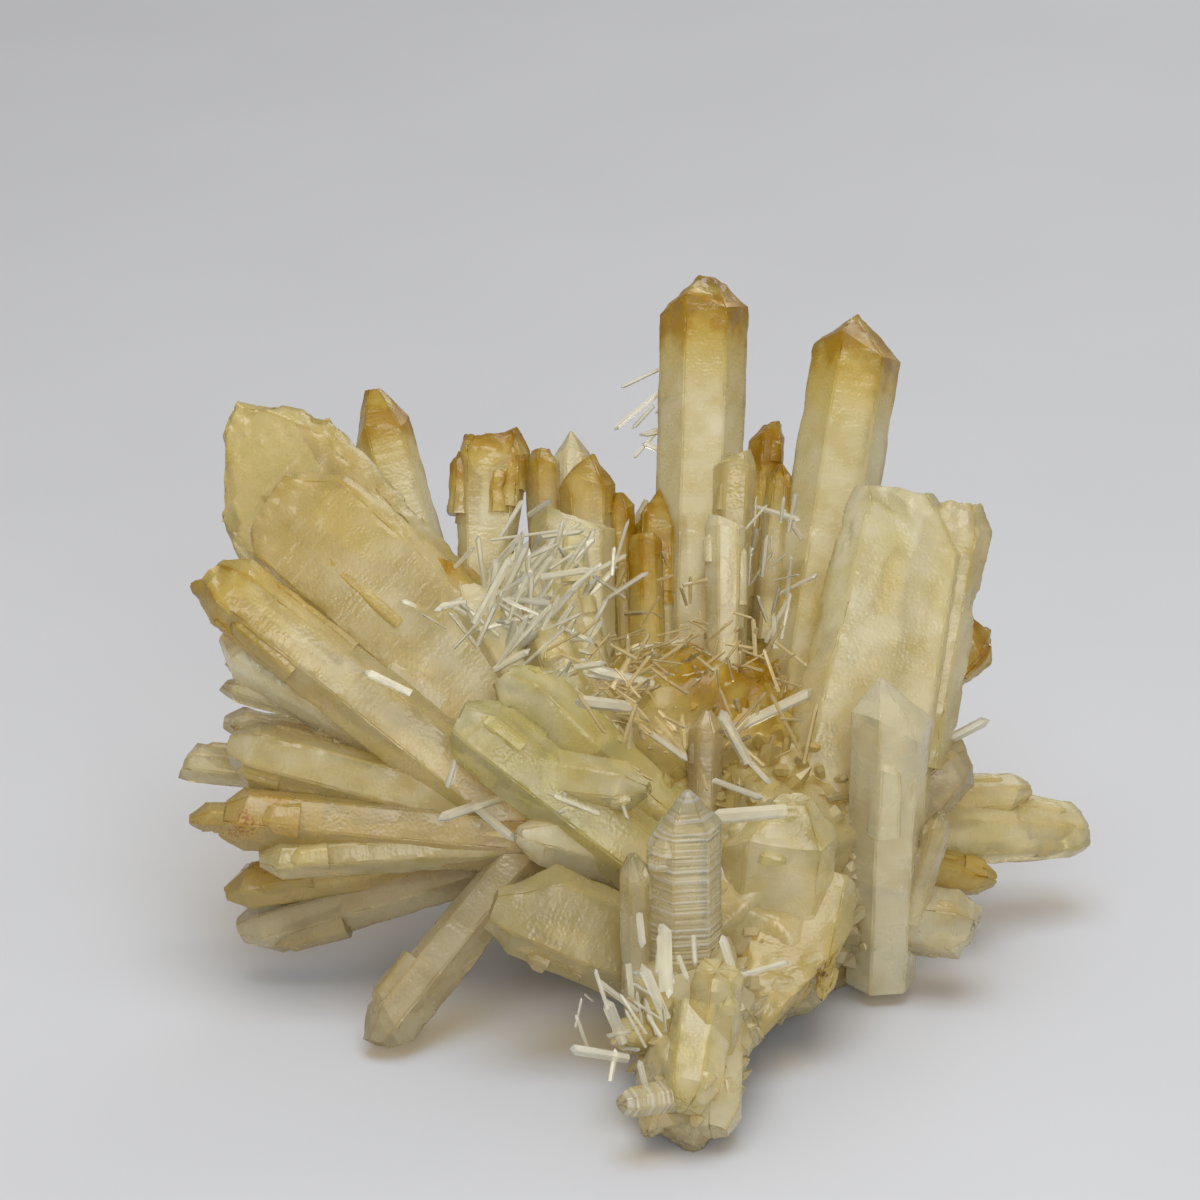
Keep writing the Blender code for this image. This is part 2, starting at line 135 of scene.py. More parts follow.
def lattice_noise(points: np.ndarray, cell: float, seed: int) -> np.ndarray:
    """Smooth noise: a hashed value at each corner of a cubic lattice, blended with a smooth step.

    Args:
        points: Points along the last axis, in metres.
        cell: The lattice's spacing, in metres.
        seed: Which noise.

    Returns:
        Values from -1 to 1, one per point.
    """
    place = points / cell
    low = np.floor(place)
    part = place - low
    part = part * part * (3 - 2 * part)
    low = low.astype(np.int64)
    total = np.zeros(points.shape[:-1])
    for corner in product((0, 1), repeat=3):
        at = low + np.array(corner)
        mixed = seed * HASH_SEED[0] + HASH_SEED[1]
        for axis, factor in enumerate(HASH_AXES):
            mixed = mixed ^ (at[..., axis] * factor)
        for shift, factor in HASH_ROUNDS:
            mixed = (mixed ^ (mixed >> shift)) * factor & HASH_MASK
        share = np.prod(np.where(np.array(corner) == 1, part, 1 - part), axis=-1)
        total += share * (mixed / HASH_HALF - 1)
    return total


def cloudy_noise(points: np.ndarray, cell: float, seed: int) -> np.ndarray:
    """Three octaves of lattice noise, each half the size and half the strength of the last.

    Args:
        points: Points along the last axis, in metres.
        cell: The largest octave's spacing, in metres.
        seed: Which noise.

    Returns:
        Values from -1 to 1, one per point.
    """
    return (
        lattice_noise(points, cell, seed)
        + 0.5 * lattice_noise(points, cell / 2, seed + 1)
        + 0.25 * lattice_noise(points, cell / 4, seed + 2)
    ) / 1.75


def unit(ways: np.ndarray) -> np.ndarray:
    """The same ways, each with length 1."""
    return ways / np.maximum(np.linalg.norm(ways, axis=-1, keepdims=True), 1e-12)


def stepped(values: np.ndarray, levels: int) -> np.ndarray:
    """The values rounded to the nearest of evenly spaced levels, so many in each unit."""
    return np.round(values * levels) / levels


def linked(name: str, data: bpy.types.ID) -> bpy.types.Object:
    """A new object in the scene that holds the data."""
    made = bpy.data.objects.new(name, data)
    bpy.context.scene.collection.objects.link(made)
    return made


def smooth(values: np.ndarray, low: float, high: float) -> np.ndarray:
    """0 under low, 1 over high, and a smooth step between."""
    share = np.clip((values - low) / (high - low), 0, 1)
    return share * share * (3 - 2 * share)


# Tones: what colours a crystal, from tip to root


@dataclass(frozen=True)
class Tone:
    """How a crystal is coloured. Each share goes from 0 to 1.

    Attributes:
        amber: Strength of the iron-amber zone at the tip.
        reach: Length of that zone from the tip, in mm.
        green: Yellow-green rather than straw.
        milk: White cloudiness.
        grey: Dull greyness. On the lower crystals it is partly their own dull colour and partly painted
            shade of their lower, less lit place.
        rust: Rust-brown stains.
        clear: How far one sees into it.
    """

    amber: float = 0.0
    reach: float = 8.0
    green: float = 0.2
    milk: float = 0.2
    grey: float = 0.0
    rust: float = 0.0
    clear: float = 0.3


class Tones(Enum):
    """The tones that the cluster's crystals share."""

    STRAW = Tone(green=0.2, milk=0.3, clear=0.3)
    STRAW_STAINED = Tone(amber=0.42, reach=22.0, green=0.25, milk=0.2, rust=0.35, clear=0.3)
    AMBER_TIP = Tone(amber=1.0, reach=16.0, green=0.1, milk=0.4, clear=0.35)
    AMBER_DEEP = Tone(amber=1.4, reach=15.0, green=0.0, milk=0.35, clear=0.35)
    AMBER_SHORT = Tone(amber=0.9, reach=9.0, green=0.1, milk=0.25, clear=0.35)
    AMBER_ALL = Tone(amber=0.8, reach=24.0, green=0.0, milk=0.1, clear=0.35)
    ETCHED_TIP = Tone(amber=0.7, reach=15.0, green=0.2, milk=0.1, grey=0.15, rust=0.4, clear=0.3)
    YELLOW_GREEN = Tone(green=0.9, milk=0.15, clear=0.35)
    PALE = Tone(green=0.15, milk=0.85, clear=0.15)
    MILKY = Tone(green=0.1, milk=1.1, clear=0.1)
    PALE_GREEN = Tone(green=0.5, milk=0.5, clear=0.25)
    # The grey of GREYISH and RUSTY is partly the lower crystals' own dull colour and partly painted shade of
    # their lower, less lit place.
    GREYISH = Tone(green=0.05, milk=0.4, grey=0.6, clear=0.35)
    RUSTY = Tone(amber=0.5, reach=40.0, green=0.05, milk=0.0, grey=0.8, rust=1.0, clear=0.3)
    OLIVE = Tone(amber=0.15, reach=30.0, green=0.6, milk=0.05, grey=0.45, clear=0.4)
    CLEAR = Tone(green=0.05, milk=0.85, grey=0.0, clear=0.5)
    BROWN = Tone(amber=0.6, reach=60.0, green=0.0, milk=0.0, grey=0.1, rust=0.2, clear=0.2)


# Size of the fine cloudiness, in metres.
VEIL_CELL = 0.0026
TRAITS = ("amber", "green", "milk", "grey", "rust", "clear", "veil", "lines", "along")


# Closed surfaces


@dataclass
class Shell:
    """Points, faces and traits of one or more closed surfaces.

    Attributes:
        points: Corner points, in metres, one a row.
        quads: Faces of four corners.
        triangles: Faces of three corners.
        traits: A value for each point, by trait name.
    """

    points: np.ndarray
    quads: np.ndarray
    triangles: np.ndarray
    traits: dict[str, np.ndarray]

    @staticmethod
    def joined(shells: "list[Shell]") -> "Shell":
        """One shell that holds all of these.

        Args:
            shells: The shells to join, each with every trait.

        Returns:
            The joined shell.
        """
        starts = np.cumsum([0] + [len(shell.points) for shell in shells[:-1]])
        return Shell(
            np.concatenate([shell.points for shell in shells]),
            np.concatenate([shell.quads + start for shell, start in zip(shells, starts)]),
            np.concatenate([shell.triangles + start for shell, start in zip(shells, starts)]),
            {name: np.concatenate([shell.traits[name] for shell in shells]) for name in TRAITS},
        )

    @staticmethod
    def from_rings(rings: np.ndarray, traits: dict[str, np.ndarray]) -> "Shell":
        """A closed surface from rings of points, each ring closed on itself and both ends on a pole.

        Args:
            rings: Points as (rings, columns, 3), going round to the left when seen from the last ring.
            traits: Values as (rings, columns) by trait name.

        Returns:
            The shell, with a pole in the middle of the first and of the last ring.
        """
        count, columns = rings.shape[:2]
        here = np.arange(columns)
        beside = (here + 1) % columns
        lows = np.arange(count - 1)[:, None] * columns
        highs = lows + columns
        quads = np.stack([lows + here, lows + beside, highs + beside, highs + here], axis=-1)
        first, last = count * columns, count * columns + 1
        top = (count - 1) * columns
        bottom_fan = np.stack([beside, here, np.full(columns, first)], axis=-1)
        top_fan = np.stack([top + here, top + beside, np.full(columns, last)], axis=-1)
        poles = np.stack([rings[0].mean(axis=0), rings[-1].mean(axis=0)])
        return Shell(
            np.concatenate([rings.reshape(-1, 3), poles]),
            quads.reshape(-1, 4),
            np.concatenate([bottom_fan, top_fan]),
            {
                name: np.concatenate([values.ravel(), [values[0].mean(), values[-1].mean()]])
                for name, values in traits.items()
            },
        )

    def piece(self, name: str, material: bpy.types.Material, sharp_deg: float = 24.0) -> bpy.types.Object:
        """The shell as a piece of the object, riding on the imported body.

        Args:
            name: The piece's name.
            material: Its finish.
            sharp_deg: Edges that turn by more than this stay sharp.

        Returns:
            The new object, at the origin.
        """
        mesh = bpy.data.meshes.new(name)
        corners = np.concatenate([self.quads.ravel(), self.triangles.ravel()]).astype(np.int32)
        sizes = np.repeat([4, 3], [len(self.quads), len(self.triangles)])
        mesh.vertices.add(len(self.points))
        mesh.vertices.foreach_set("co", self.points.astype(np.float32).ravel())
        mesh.loops.add(len(corners))
        mesh.loops.foreach_set("vertex_index", corners)
        mesh.polygons.add(len(sizes))
        mesh.polygons.foreach_set("loop_start", (np.cumsum(sizes) - sizes).astype(np.int32))
        mesh.polygons.foreach_set("use_smooth", np.ones(len(sizes), bool))
        mesh.update(calc_edges=True)
        mesh.validate()
        mesh.set_sharp_from_angle(angle=math.radians(sharp_deg))
        for trait, values in self.traits.items():
            held = mesh.attributes.new(trait, "FLOAT", "POINT")
            held.data.foreach_set("value", values.astype(np.float32))
        mesh.materials.append(material)
        made = linked(name, mesh)
        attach(made, BODY)
        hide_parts(CAD_NODE)
        log.info("%s: %d faces", name, len(sizes))
        return made


# One crystal


@dataclass(frozen=True)
class Crystal:
    """One hexagonal crystal, in mm.

    Attributes:
        name: Its piece's name.
        tip: Where it ends, as the viewpoint sees it.
        root: Where it starts, inside the cluster.
        width: Its section's width, across its wide faces.
        depth: Its section's thickness.
        point: Length of the sloping end.
        lean: The apex's place, as shares of the half width and half depth.
        blunt: The share of the section left at the end.
        tilt: How much the end's right side stands above its left.
        flare: The root's section over the tip's.
        turn: Degrees about its own axis.
        tone: How it is coloured.
        ragged: How far its edges are broken back.
        etch: How deep its end is etched.
        frill: How far its narrow sides are broken into steps, in mm.
        lines: How strong its growth lines are, 0 to 1. Strong lines also get pale painted glints.
        mates: How many small crystals grew parallel to it, half sunk in its faces.
    """

    name: str
    tip: Spot
    root: Spot
    width: float
    depth: float
    point: float = 5.0
    lean: tuple[float, float] = (0.0, 0.0)
    blunt: tuple[float, float] = (0.08, 0.08)
    tilt: float = 0.0
    flare: float = 1.0
    turn: float = 0.0
    tone: Tones = Tones.STRAW
    ragged: float = 0.25
    etch: float = 0.1
    frill: float = 0.0
    lines: float = 0.07
    mates: int = 3


class NoiseOf(IntEnum):
    """What each of a crystal's noises adds to its seed, so that no two are alike."""

    STEPS = 5
    CHIPS = 9
    COARSE = 13
    FINE = 17
    WANDER = 25
    CLOUD = 29
    WISPS = 33
    VEIL = 37
    FIRST_MATE = 1000


@dataclass(frozen=True)
class CrystalSurface:
    """The surface of one crystal as a function of height and of the way round.

    Every face is flat to begin with: a column of points runs straight from the root ring to the line
    where the sloping end begins, and straight on to the small end ring. Then the faces are stepped,
    the edges chipped and the end etched, by noise along the surface's own normals.

    Attributes:
        shape: The crystal.
        root: Its root, in metres.
        tip: Its tip, in metres.
        faces_way: The way that its wide faces look.
        seed: Which noise.
        spacing: Distance between points, in mm.
        end_face_swing: How much longer three of the six end faces are, and shorter the other three.
        inner_least: The wide faces' least half width, as a share of the section's width.
        bevel: How deep each edge is cut back, in mm.
        bevel_width: How far the cut reaches from the edge, in mm.
        bevel_most: The most of a face that it takes, as a share.
        point_most: The most of the length that the sloping end takes, as a share.
        counts_least: Fewest points across a face, along the body and along the sloping end.
        point_density: Rings on the sloping end over those on the body, for the same length.
        cap_rings: Rings that close the small end face.
        slow_cell: Size of the slow waves, in metres, and slow_wave their height, in mm.
        step_cell: Size of the growth steps, in metres, and step_height their height, in mm.
        steps_across: How fast the steps change across the crystal, over along it.
        coarse_cell: Size of the bites, in metres.
        fine_cell: Size of the pits, in metres.
        chip_cell: Size of the chips, in metres.
        edge_reach: How far from an edge chips and bites fade, in mm.
        side: Where the narrow sides begin and are full, as shares of the half width.
        frill_start: The share of the length under which a side isn't broken into steps.
        rim_shade: Amber painted on the edges near the tip as painted shade of the edges' darker rims, and
            rim_width how wide it is, in mm.
        rim_reach: How far from the tip it fades, in mm.
    """

    shape: Crystal
    root: np.ndarray
    tip: np.ndarray
    faces_way: np.ndarray
    seed: int
    spacing: float = 0.7

    end_face_swing: ClassVar[float] = 0.16
    inner_least: ClassVar[float] = 0.2
    bevel: ClassVar[float] = 0.12
    bevel_width: ClassVar[float] = 0.28
    bevel_most: ClassVar[float] = 0.2
    point_most: ClassVar[float] = 0.8
    counts_least: ClassVar[tuple[int, int, int]] = (3, 6, 4)
    point_density: ClassVar[float] = 1.4
    cap_rings: ClassVar[int] = 3
    slow_cell: ClassVar[float] = 0.009
    slow_wave: ClassVar[float] = 0.16
    step_cell: ClassVar[float] = 0.006
    step_height: ClassVar[float] = 0.22
    steps_across: ClassVar[float] = 0.25
    coarse_cell: ClassVar[float] = 0.0038
    fine_cell: ClassVar[float] = 0.0013
    chip_cell: ClassVar[float] = 0.0022
    edge_reach: ClassVar[float] = 0.55
    side: ClassVar[tuple[float, float]] = (0.55, 0.95)
    frill_start: ClassVar[float] = 0.75
    rim_shade: ClassVar[float] = 0.35
    rim_width: ClassVar[float] = 0.5
    rim_reach: ClassVar[float] = 14.0

    @property
    def length(self) -> float:
        """Length of the axis, in metres."""
        return float(np.linalg.norm(self.tip - self.root))

    def axes(self) -> np.ndarray:
        """The crystal's own axes.

        Returns:
            Unit ways across, through and along it, one a row.
        """
        along = unit(self.tip - self.root)
        through = unit(self.faces_way - along * (self.faces_way @ along))
        across = np.cross(through, along)
        angle = math.radians(self.shape.turn)
        turned_across = across * math.cos(angle) + through * math.sin(angle)
        turned_through = through * math.cos(angle) - across * math.sin(angle)
        return np.stack([turned_across, turned_through, along])

    def hexagon(self) -> np.ndarray:
        """The section's corners, with the wide faces square to its depth.

        Returns:
            Six corners in metres, across and through, one a row.
        """
        width = self.shape.width * MM
        half = self.shape.depth * MM / 2
        inner = max(width / 2 - half * HEXAGON_LEAN, width * self.inner_least)
        right = width / 2
        upper = [(right, 0), (inner, half), (-inner, half)]
        return np.array(upper + [(-right, 0), (-inner, -half), (inner, -half)])

    def columns(self, corners: np.ndarray) -> tuple[np.ndarray, np.ndarray, np.ndarray]:
        """Where the columns stand round the section.

        Args:
            corners: The section's corners.

        Returns:
            For each column its face's number, its share of the way across it, and its distance from
            the nearest edge in mm.
        """
        face_numbers, shares, edges = [], [], []
        for face in range(6):
            side = float(np.linalg.norm(corners[(face + 1) % 6] - corners[face])) / MM
            near = min(self.bevel_width / side, self.bevel_most)
            inner = np.linspace(near, 1 - near, max(self.counts_least[0], round(side / self.spacing)))
            share = np.concatenate([[0.0], inner])
            face_numbers.append(np.full(len(share), face))
            shares.append(share)
            edges.append(np.minimum(share, 1 - share) * side)
        return np.concatenate(face_numbers), np.concatenate(shares), np.concatenate(edges)

    def outline(self) -> tuple[np.ndarray, np.ndarray]:
        """The flat-faced surface.

        A point's place is the straight blend between its column's root, shoulder and end points.

        Returns:
            Points in the crystal's own axes as (rings, columns, 3), and each column's distance from
            the nearest edge in mm.
        """
        shape = self.shape
        length = self.length
        corners = self.hexagon()
        size = np.array([shape.width, shape.depth]) * MM
        apex = np.array(shape.lean) * size / 2
        away = np.linalg.norm(corners - apex, axis=1)
        swing = 1 + self.end_face_swing * np.array([1, -1, 1, -1, 1, -1])
        sloped = shape.point * MM * swing * away / away.mean()
        heights = length - np.minimum(sloped, length * self.point_most)
        swell = shape.flare + (1 - shape.flare) * heights / length
        end_heights = length + shape.tilt * MM * corners[:, 0] / (size[0] / 2)
        root_ring = np.column_stack([corners * shape.flare, np.zeros(6)])
        shoulder_ring = np.column_stack([corners * swell[:, None], heights])
        end_ring = np.column_stack([apex + corners * np.array(shape.blunt), end_heights])
        face, share, edge = self.columns(corners)

        def spread(ring: np.ndarray) -> np.ndarray:
            """The ring's corners blended straight to every column."""
            return ring[face] * (1 - share[:, None]) + ring[(face + 1) % 6] * share[:, None]

        root, shoulder, end = spread(root_ring), spread(shoulder_ring), spread(end_ring)
        body_count = max(self.counts_least[1], round(float(heights.mean()) / MM / self.spacing))
        point_count = max(self.counts_least[2], round(shape.point / self.spacing * self.point_density))
        body = np.linspace(0, 1, body_count)[:, None, None]
        point = np.linspace(0, 1, point_count)[1:, None, None]
        cap = np.linspace(0, 1, self.cap_rings + 2)[1:-1, None, None]
        middle = end.mean(axis=0)
        parts = (
            root + (shoulder - root) * body,
            shoulder + (end - shoulder) * point,
            end + (middle - end) * cap,
        )
        return np.concatenate(parts), edge

    def normals(self, points: np.ndarray) -> np.ndarray:
        """Unit outward normals, from the differences between neighbouring rings and columns."""
        up = np.gradient(points, axis=0)
        round_way = np.roll(points, -1, axis=1) - np.roll(points, 1, axis=1)
        return unit(np.cross(round_way, up))

    def shell(self) -> Shell:
        """The weathered surface, in world metres.

        Slow waves and steps move points along the normals, chips and bites wear the edges back, pits etch
        the end, and stepped noise breaks the narrow sides and the tip.

        Returns:
            The closed shell, with its traits.
        """
        shape = self.shape
        local, edge = self.outline()
        ways = self.axes()
        points = local @ ways + self.root
        from_tip = (self.length - local[..., 2]) / MM
        near_tip = np.exp(-np.maximum(from_tip, 0) / max(shape.point, 3.0))
        coarse = lattice_noise(points, self.coarse_cell, self.seed + NoiseOf.COARSE)
        fine = lattice_noise(points, self.fine_cell, self.seed + NoiseOf.FINE)
        out = self.swell(points, local, edge, coarse) + fine * shape.etch * near_tip
        points = points + self.normals(points) * out[..., None] * MM
        half = max(shape.width, 1.0) / 2 * MM
        side = smooth(np.abs(local[..., 0]) / half, *self.side)
        toothed = np.clip(np.round(coarse * 3 + fine * 1.2) / 3 + 0.2, 0, 1.2) * shape.frill
        frilled = smooth(from_tip, self.length / MM * self.frill_start, 0)
        inward = -np.sign(local[..., 0]) * side * toothed * frilled
        points = points + ways[0] * inward[..., None] * MM
        broken = np.clip(stepped(coarse, 4), -0.25, 1) * 1.5 + fine * 0.3
        points = points - ways[2] * (broken * shape.ragged * near_tip)[..., None] * MM
        return Shell.from_rings(points, self.traits(points, from_tip, edge))

    def swell(
        self, points: np.ndarray, local: np.ndarray, edge: np.ndarray, coarse: np.ndarray
    ) -> np.ndarray:
        """How far waves, growth steps, chips, bites and the bevel move each point along its normal.

        Args:
            points: World points in metres.
            local: The same points in the crystal's own axes.
            edge: Each column's distance from the nearest edge in mm.
            coarse: The bites' noise at each point.

        Returns:
            Distance outward in mm, one per point.
        """
        ragged = self.shape.ragged
        near_edge = np.exp(-edge / self.edge_reach)[None, :]
        slow = cloudy_noise(points, self.slow_cell, self.seed) * self.slow_wave
        banded = np.concatenate([local[..., :2] * self.steps_across, local[..., 2:]], axis=-1)
        growth = lattice_noise(banded, self.step_cell, self.seed + NoiseOf.STEPS)
        step = stepped(growth, 3) * self.step_height
        broken = lattice_noise(points, self.chip_cell, self.seed + NoiseOf.CHIPS)
        chip = np.clip(broken - 0.15, 0, 1) * ragged * 1.4
        bite = np.clip(stepped(coarse, 4), 0, 1) * ragged
        bevel = self.bevel * (edge < self.bevel_width * 0.5)[None, :]
        return slow + step * 0.5 - (chip + bite) * near_edge - bevel

    def traits(self, points: np.ndarray, from_tip: np.ndarray, edge: np.ndarray) -> dict[str, np.ndarray]:
        """The tone's shares at every point.

        Amber fades from the tip along a wandering front. A thin amber rim along the edges there, and less
        milk near every edge, are painted shade for the edges' darker, more saturated rims.
        Green, milk, rust and clearness drift in clouds.

        Args:
            points: World points in metres.
            from_tip: Distance below the tip in mm.
            edge: Each column's distance from the nearest edge in mm.

        Returns:
            A value per point, by trait name.
        """
        tone = self.shape.tone.value
        wander = cloudy_noise(points, 0.008, self.seed + NoiseOf.WANDER)
        cloud = cloudy_noise(points, 0.011, self.seed + NoiseOf.CLOUD)
        wisps = cloudy_noise(points, 0.005, self.seed + NoiseOf.WISPS)
        front = from_tip + wander * tone.reach * 0.35
        amber = tone.amber * (1 - smooth(front, tone.reach * 0.15, tone.reach * 1.35))
        # Painted shade: a thin amber rim along the edges near the tip.
        rim = np.exp(-((edge / self.rim_width) ** 2))[None, :] * (0.25 + 0.75 * smooth(wander, -0.3, 0.5))
        amber = amber + self.rim_shade * rim * np.exp(-np.maximum(from_tip, 0) / self.rim_reach)
        # Painted shade: less milk near every edge, so the edges look darker and more saturated.
        edge_shade = np.exp(-edge / 0.8)[None, :]
        return {
            "amber": np.clip(amber + 0.10 * np.clip(wisps, 0, 1), 0, 1),
            "green": np.clip(tone.green + 0.35 * cloud, 0, 1),
            "milk": np.clip(tone.milk + 0.7 * wisps - 0.15 * wander - 0.3 * edge_shade, 0, 1),
            "grey": np.clip(tone.grey * (1 + 0.4 * cloud), 0, 1),
            "rust": tone.rust * smooth(wisps + wander, 0.05, 0.6),
            "clear": np.clip(tone.clear - 0.35 * wisps + 0.2 * wander, 0.02, 1),
            "veil": 0.5 + 0.5 * cloudy_noise(points, VEIL_CELL, self.seed + NoiseOf.VEIL),
            "lines": np.full(from_tip.shape, self.shape.lines),
            "along": from_tip,
        }

    def mates(self) -> list[Shell]:
        """The small crystals that grew parallel to this one.

        Each stands at a random spot of the section's outline, sunk in, and ends near the parent's end. It
        keeps the parent's faces, so the two read as one stepped crystal with several tips.

        Returns:
            A closed shell for each.
        """
        shape = self.shape
        rng = np.random.default_rng(self.seed)
        ways = self.axes()
        corners = self.hexagon()
        made = []
        for number in range(shape.mates):
            face = rng.integers(0, 6)
            share = rng.uniform(0.1, 0.9)
            spot = corners[face] * (1 - share) + corners[(face + 1) % 6] * share
            under = shape.point * MM / self.length
            high = 1 - under * rng.uniform(0.25, 1.1) - rng.uniform(0, 0.35) ** 2
            low = high - rng.uniform(0.12, 0.28)
            width = min(shape.width, shape.depth) * rng.uniform(0.28, 0.55)
            grown = shape.flare + (1 - shape.flare) * high
            offset = (spot * grown * rng.uniform(0.66, 0.8)) @ ways[:2]
            axis = ways[2] * self.length
            small = replace(
                shape, width=width, depth=width * rng.uniform(0.6, 0.9), point=width * 0.55,
                lean=(0.0, 0.0), blunt=(0.3, 0.3), tilt=0.0, flare=1.15, mates=0, frill=0.0,
            )
            surface = CrystalSurface(
                small, self.root + offset + axis * low, self.root + offset + axis * high,
                self.faces_way, self.seed + NoiseOf.FIRST_MATE + number, 0.55,
            )
            made.append(surface.shell())
        return made


# Finishes


class NodeDesk:
    """Short names for adding and joining a material's nodes."""

    def __init__(self, name: str) -> None:
        """Makes a material with a Principled shader on its output.

        Args:
            name: The material's name.
        """
        self.material = bpy.data.materials.new(name)
        self.material.use_nodes = True
        self.tree = self.material.node_tree
        self.shader = self.tree.nodes["Principled BSDF"]
        self.output = self.tree.nodes["Material Output"]

    def add(self, kind: str, **settings: object) -> bpy.types.Node:
        """Adds a node and sets its properties."""
        node = self.tree.nodes.new(kind)
        for key, value in settings.items():
            setattr(node, key, value)
        return node

    def join(self, start: bpy.types.NodeSocket, end: bpy.types.NodeSocket) -> None:
        """Joins two sockets."""
        self.tree.links.new(start, end)

    def put(self, socket: bpy.types.NodeSocket, value: object) -> None:
        """Joins a socket to another, or sets it to a plain value."""
        if isinstance(value, bpy.types.NodeSocket):
            self.join(value, socket)
        else:
            socket.default_value = value

    def trait(self, name: str) -> bpy.types.NodeSocket:
        """The value of a trait at the shaded point."""
        return self.add("ShaderNodeAttribute", attribute_name=name).outputs["Fac"]

    def place(self) -> bpy.types.NodeSocket:
        """The object's own coordinates, in metres."""
        return self.add("ShaderNodeTexCoord").outputs["Object"]

    def sum(
        self, operation: str, first: object, second: object = 0.0, clamp: bool = False
    ) -> bpy.types.NodeSocket:
        """A Math node.

        Args:
            operation: What it does, by Blender's name.
            first: The first socket or value.
            second: The second socket or value.
            clamp: Keep the result from 0 to 1.

        Returns:
            The node's result.
        """
        node = self.add("ShaderNodeMath", operation=operation, use_clamp=clamp)
        self.put(node.inputs[0], first)
        self.put(node.inputs[1], second)
        return node.outputs[0]

    def noise(self, size: float, detail: float = 0.0) -> bpy.types.NodeSocket:
        """Cloudy noise on the object's own coordinates.

        Args:
            size: How large its features are, in mm.
            detail: Octaves past the first.

        Returns:
            Values about 0.5.
        """
        node = self.add("ShaderNodeTexNoise")
        self.join(self.place(), node.inputs["Vector"])
        node.inputs["Scale"].default_value = 1 / (size * MM)
        node.inputs["Detail"].default_value = detail
        return node.outputs["Fac"]

    def step(self, value: bpy.types.NodeSocket, band: tuple[float, float]) -> bpy.types.NodeSocket:
        """A smooth step.

        Args:
            value: What is stepped.
            band: Where the step is 0, and where it is 1.

        Returns:
            The step's height at the value.
        """
        node = self.add("ShaderNodeMapRange", interpolation_type="SMOOTHSTEP")
        self.join(value, node.inputs["Value"])
        node.inputs["From Min"].default_value, node.inputs["From Max"].default_value = band
        return node.outputs["Result"]

    def tint(self, share: object, low: object, high: object) -> bpy.types.NodeSocket:
        """A colour between two others.

        Args:
            share: The second colour's share.
            low: The first colour, or its socket.
            high: The second colour, or its socket.

        Returns:
            The mixed colour.
        """
        node = self.add("ShaderNodeMix", data_type="RGBA")
        self.put(node.inputs["Factor"], share)
        self.put(node.inputs["A"], low)
        self.put(node.inputs["B"], high)
        return node.outputs["Result"]

    def bump(self, height: bpy.types.NodeSocket, depth: float) -> None:
        """Gives the shader relief.

        Args:
            height: The relief's height, where 1 is its full depth.
            depth: Its depth in mm.
        """
        node = self.add("ShaderNodeBump")
        node.inputs["Distance"].default_value = depth * MM
        self.join(height, node.inputs["Height"])
        self.join(node.outputs["Normal"], self.shader.inputs["Normal"])

    def let_out(self, see: object) -> None:
        """Sets the see-through share: all of it from inside, so that light which got in gets out again."""
        side = self.add("ShaderNodeNewGeometry").outputs["Backfacing"]
        self.join(self.sum("MAXIMUM", side, see), self.shader.inputs["Transmission Weight"])

    def pass_lamps(self, tint: Colour) -> None:
        """Lets lamps shine through each face, so that crystals shade each other in gold.

        Args:
            tint: What a face lets through.
        """
        mixer = self.add("ShaderNodeMixShader")
        open_face = self.add("ShaderNodeBsdfTransparent")
        open_face.inputs["Color"].default_value = tint
        self.join(self.add("ShaderNodeLightPath").outputs["Is Shadow Ray"], mixer.inputs[0])
        self.join(self.shader.outputs[0], mixer.inputs[1])
        self.join(open_face.outputs[0], mixer.inputs[2])
        self.join(mixer.outputs[0], self.output.inputs["Surface"])

    def absorb(self, colour: tuple[float, float, float], density: float) -> None:
        """Fills the closed shape with a clear tint.

        Args:
            colour: What it lets through.
            density: How fast the tint grows with depth, per metre.
        """
        node = self.add("ShaderNodeVolumeAbsorption")
        node.inputs["Color"].default_value = (*colour, 1.0)
        node.inputs["Density"].default_value = density
        self.join(node.outputs["Volume"], self.output.inputs["Volume"])


def rgb(red: float, green: float, blue: float) -> Colour:
    """A colour with full alpha."""
    return (red, green, blue, 1.0)


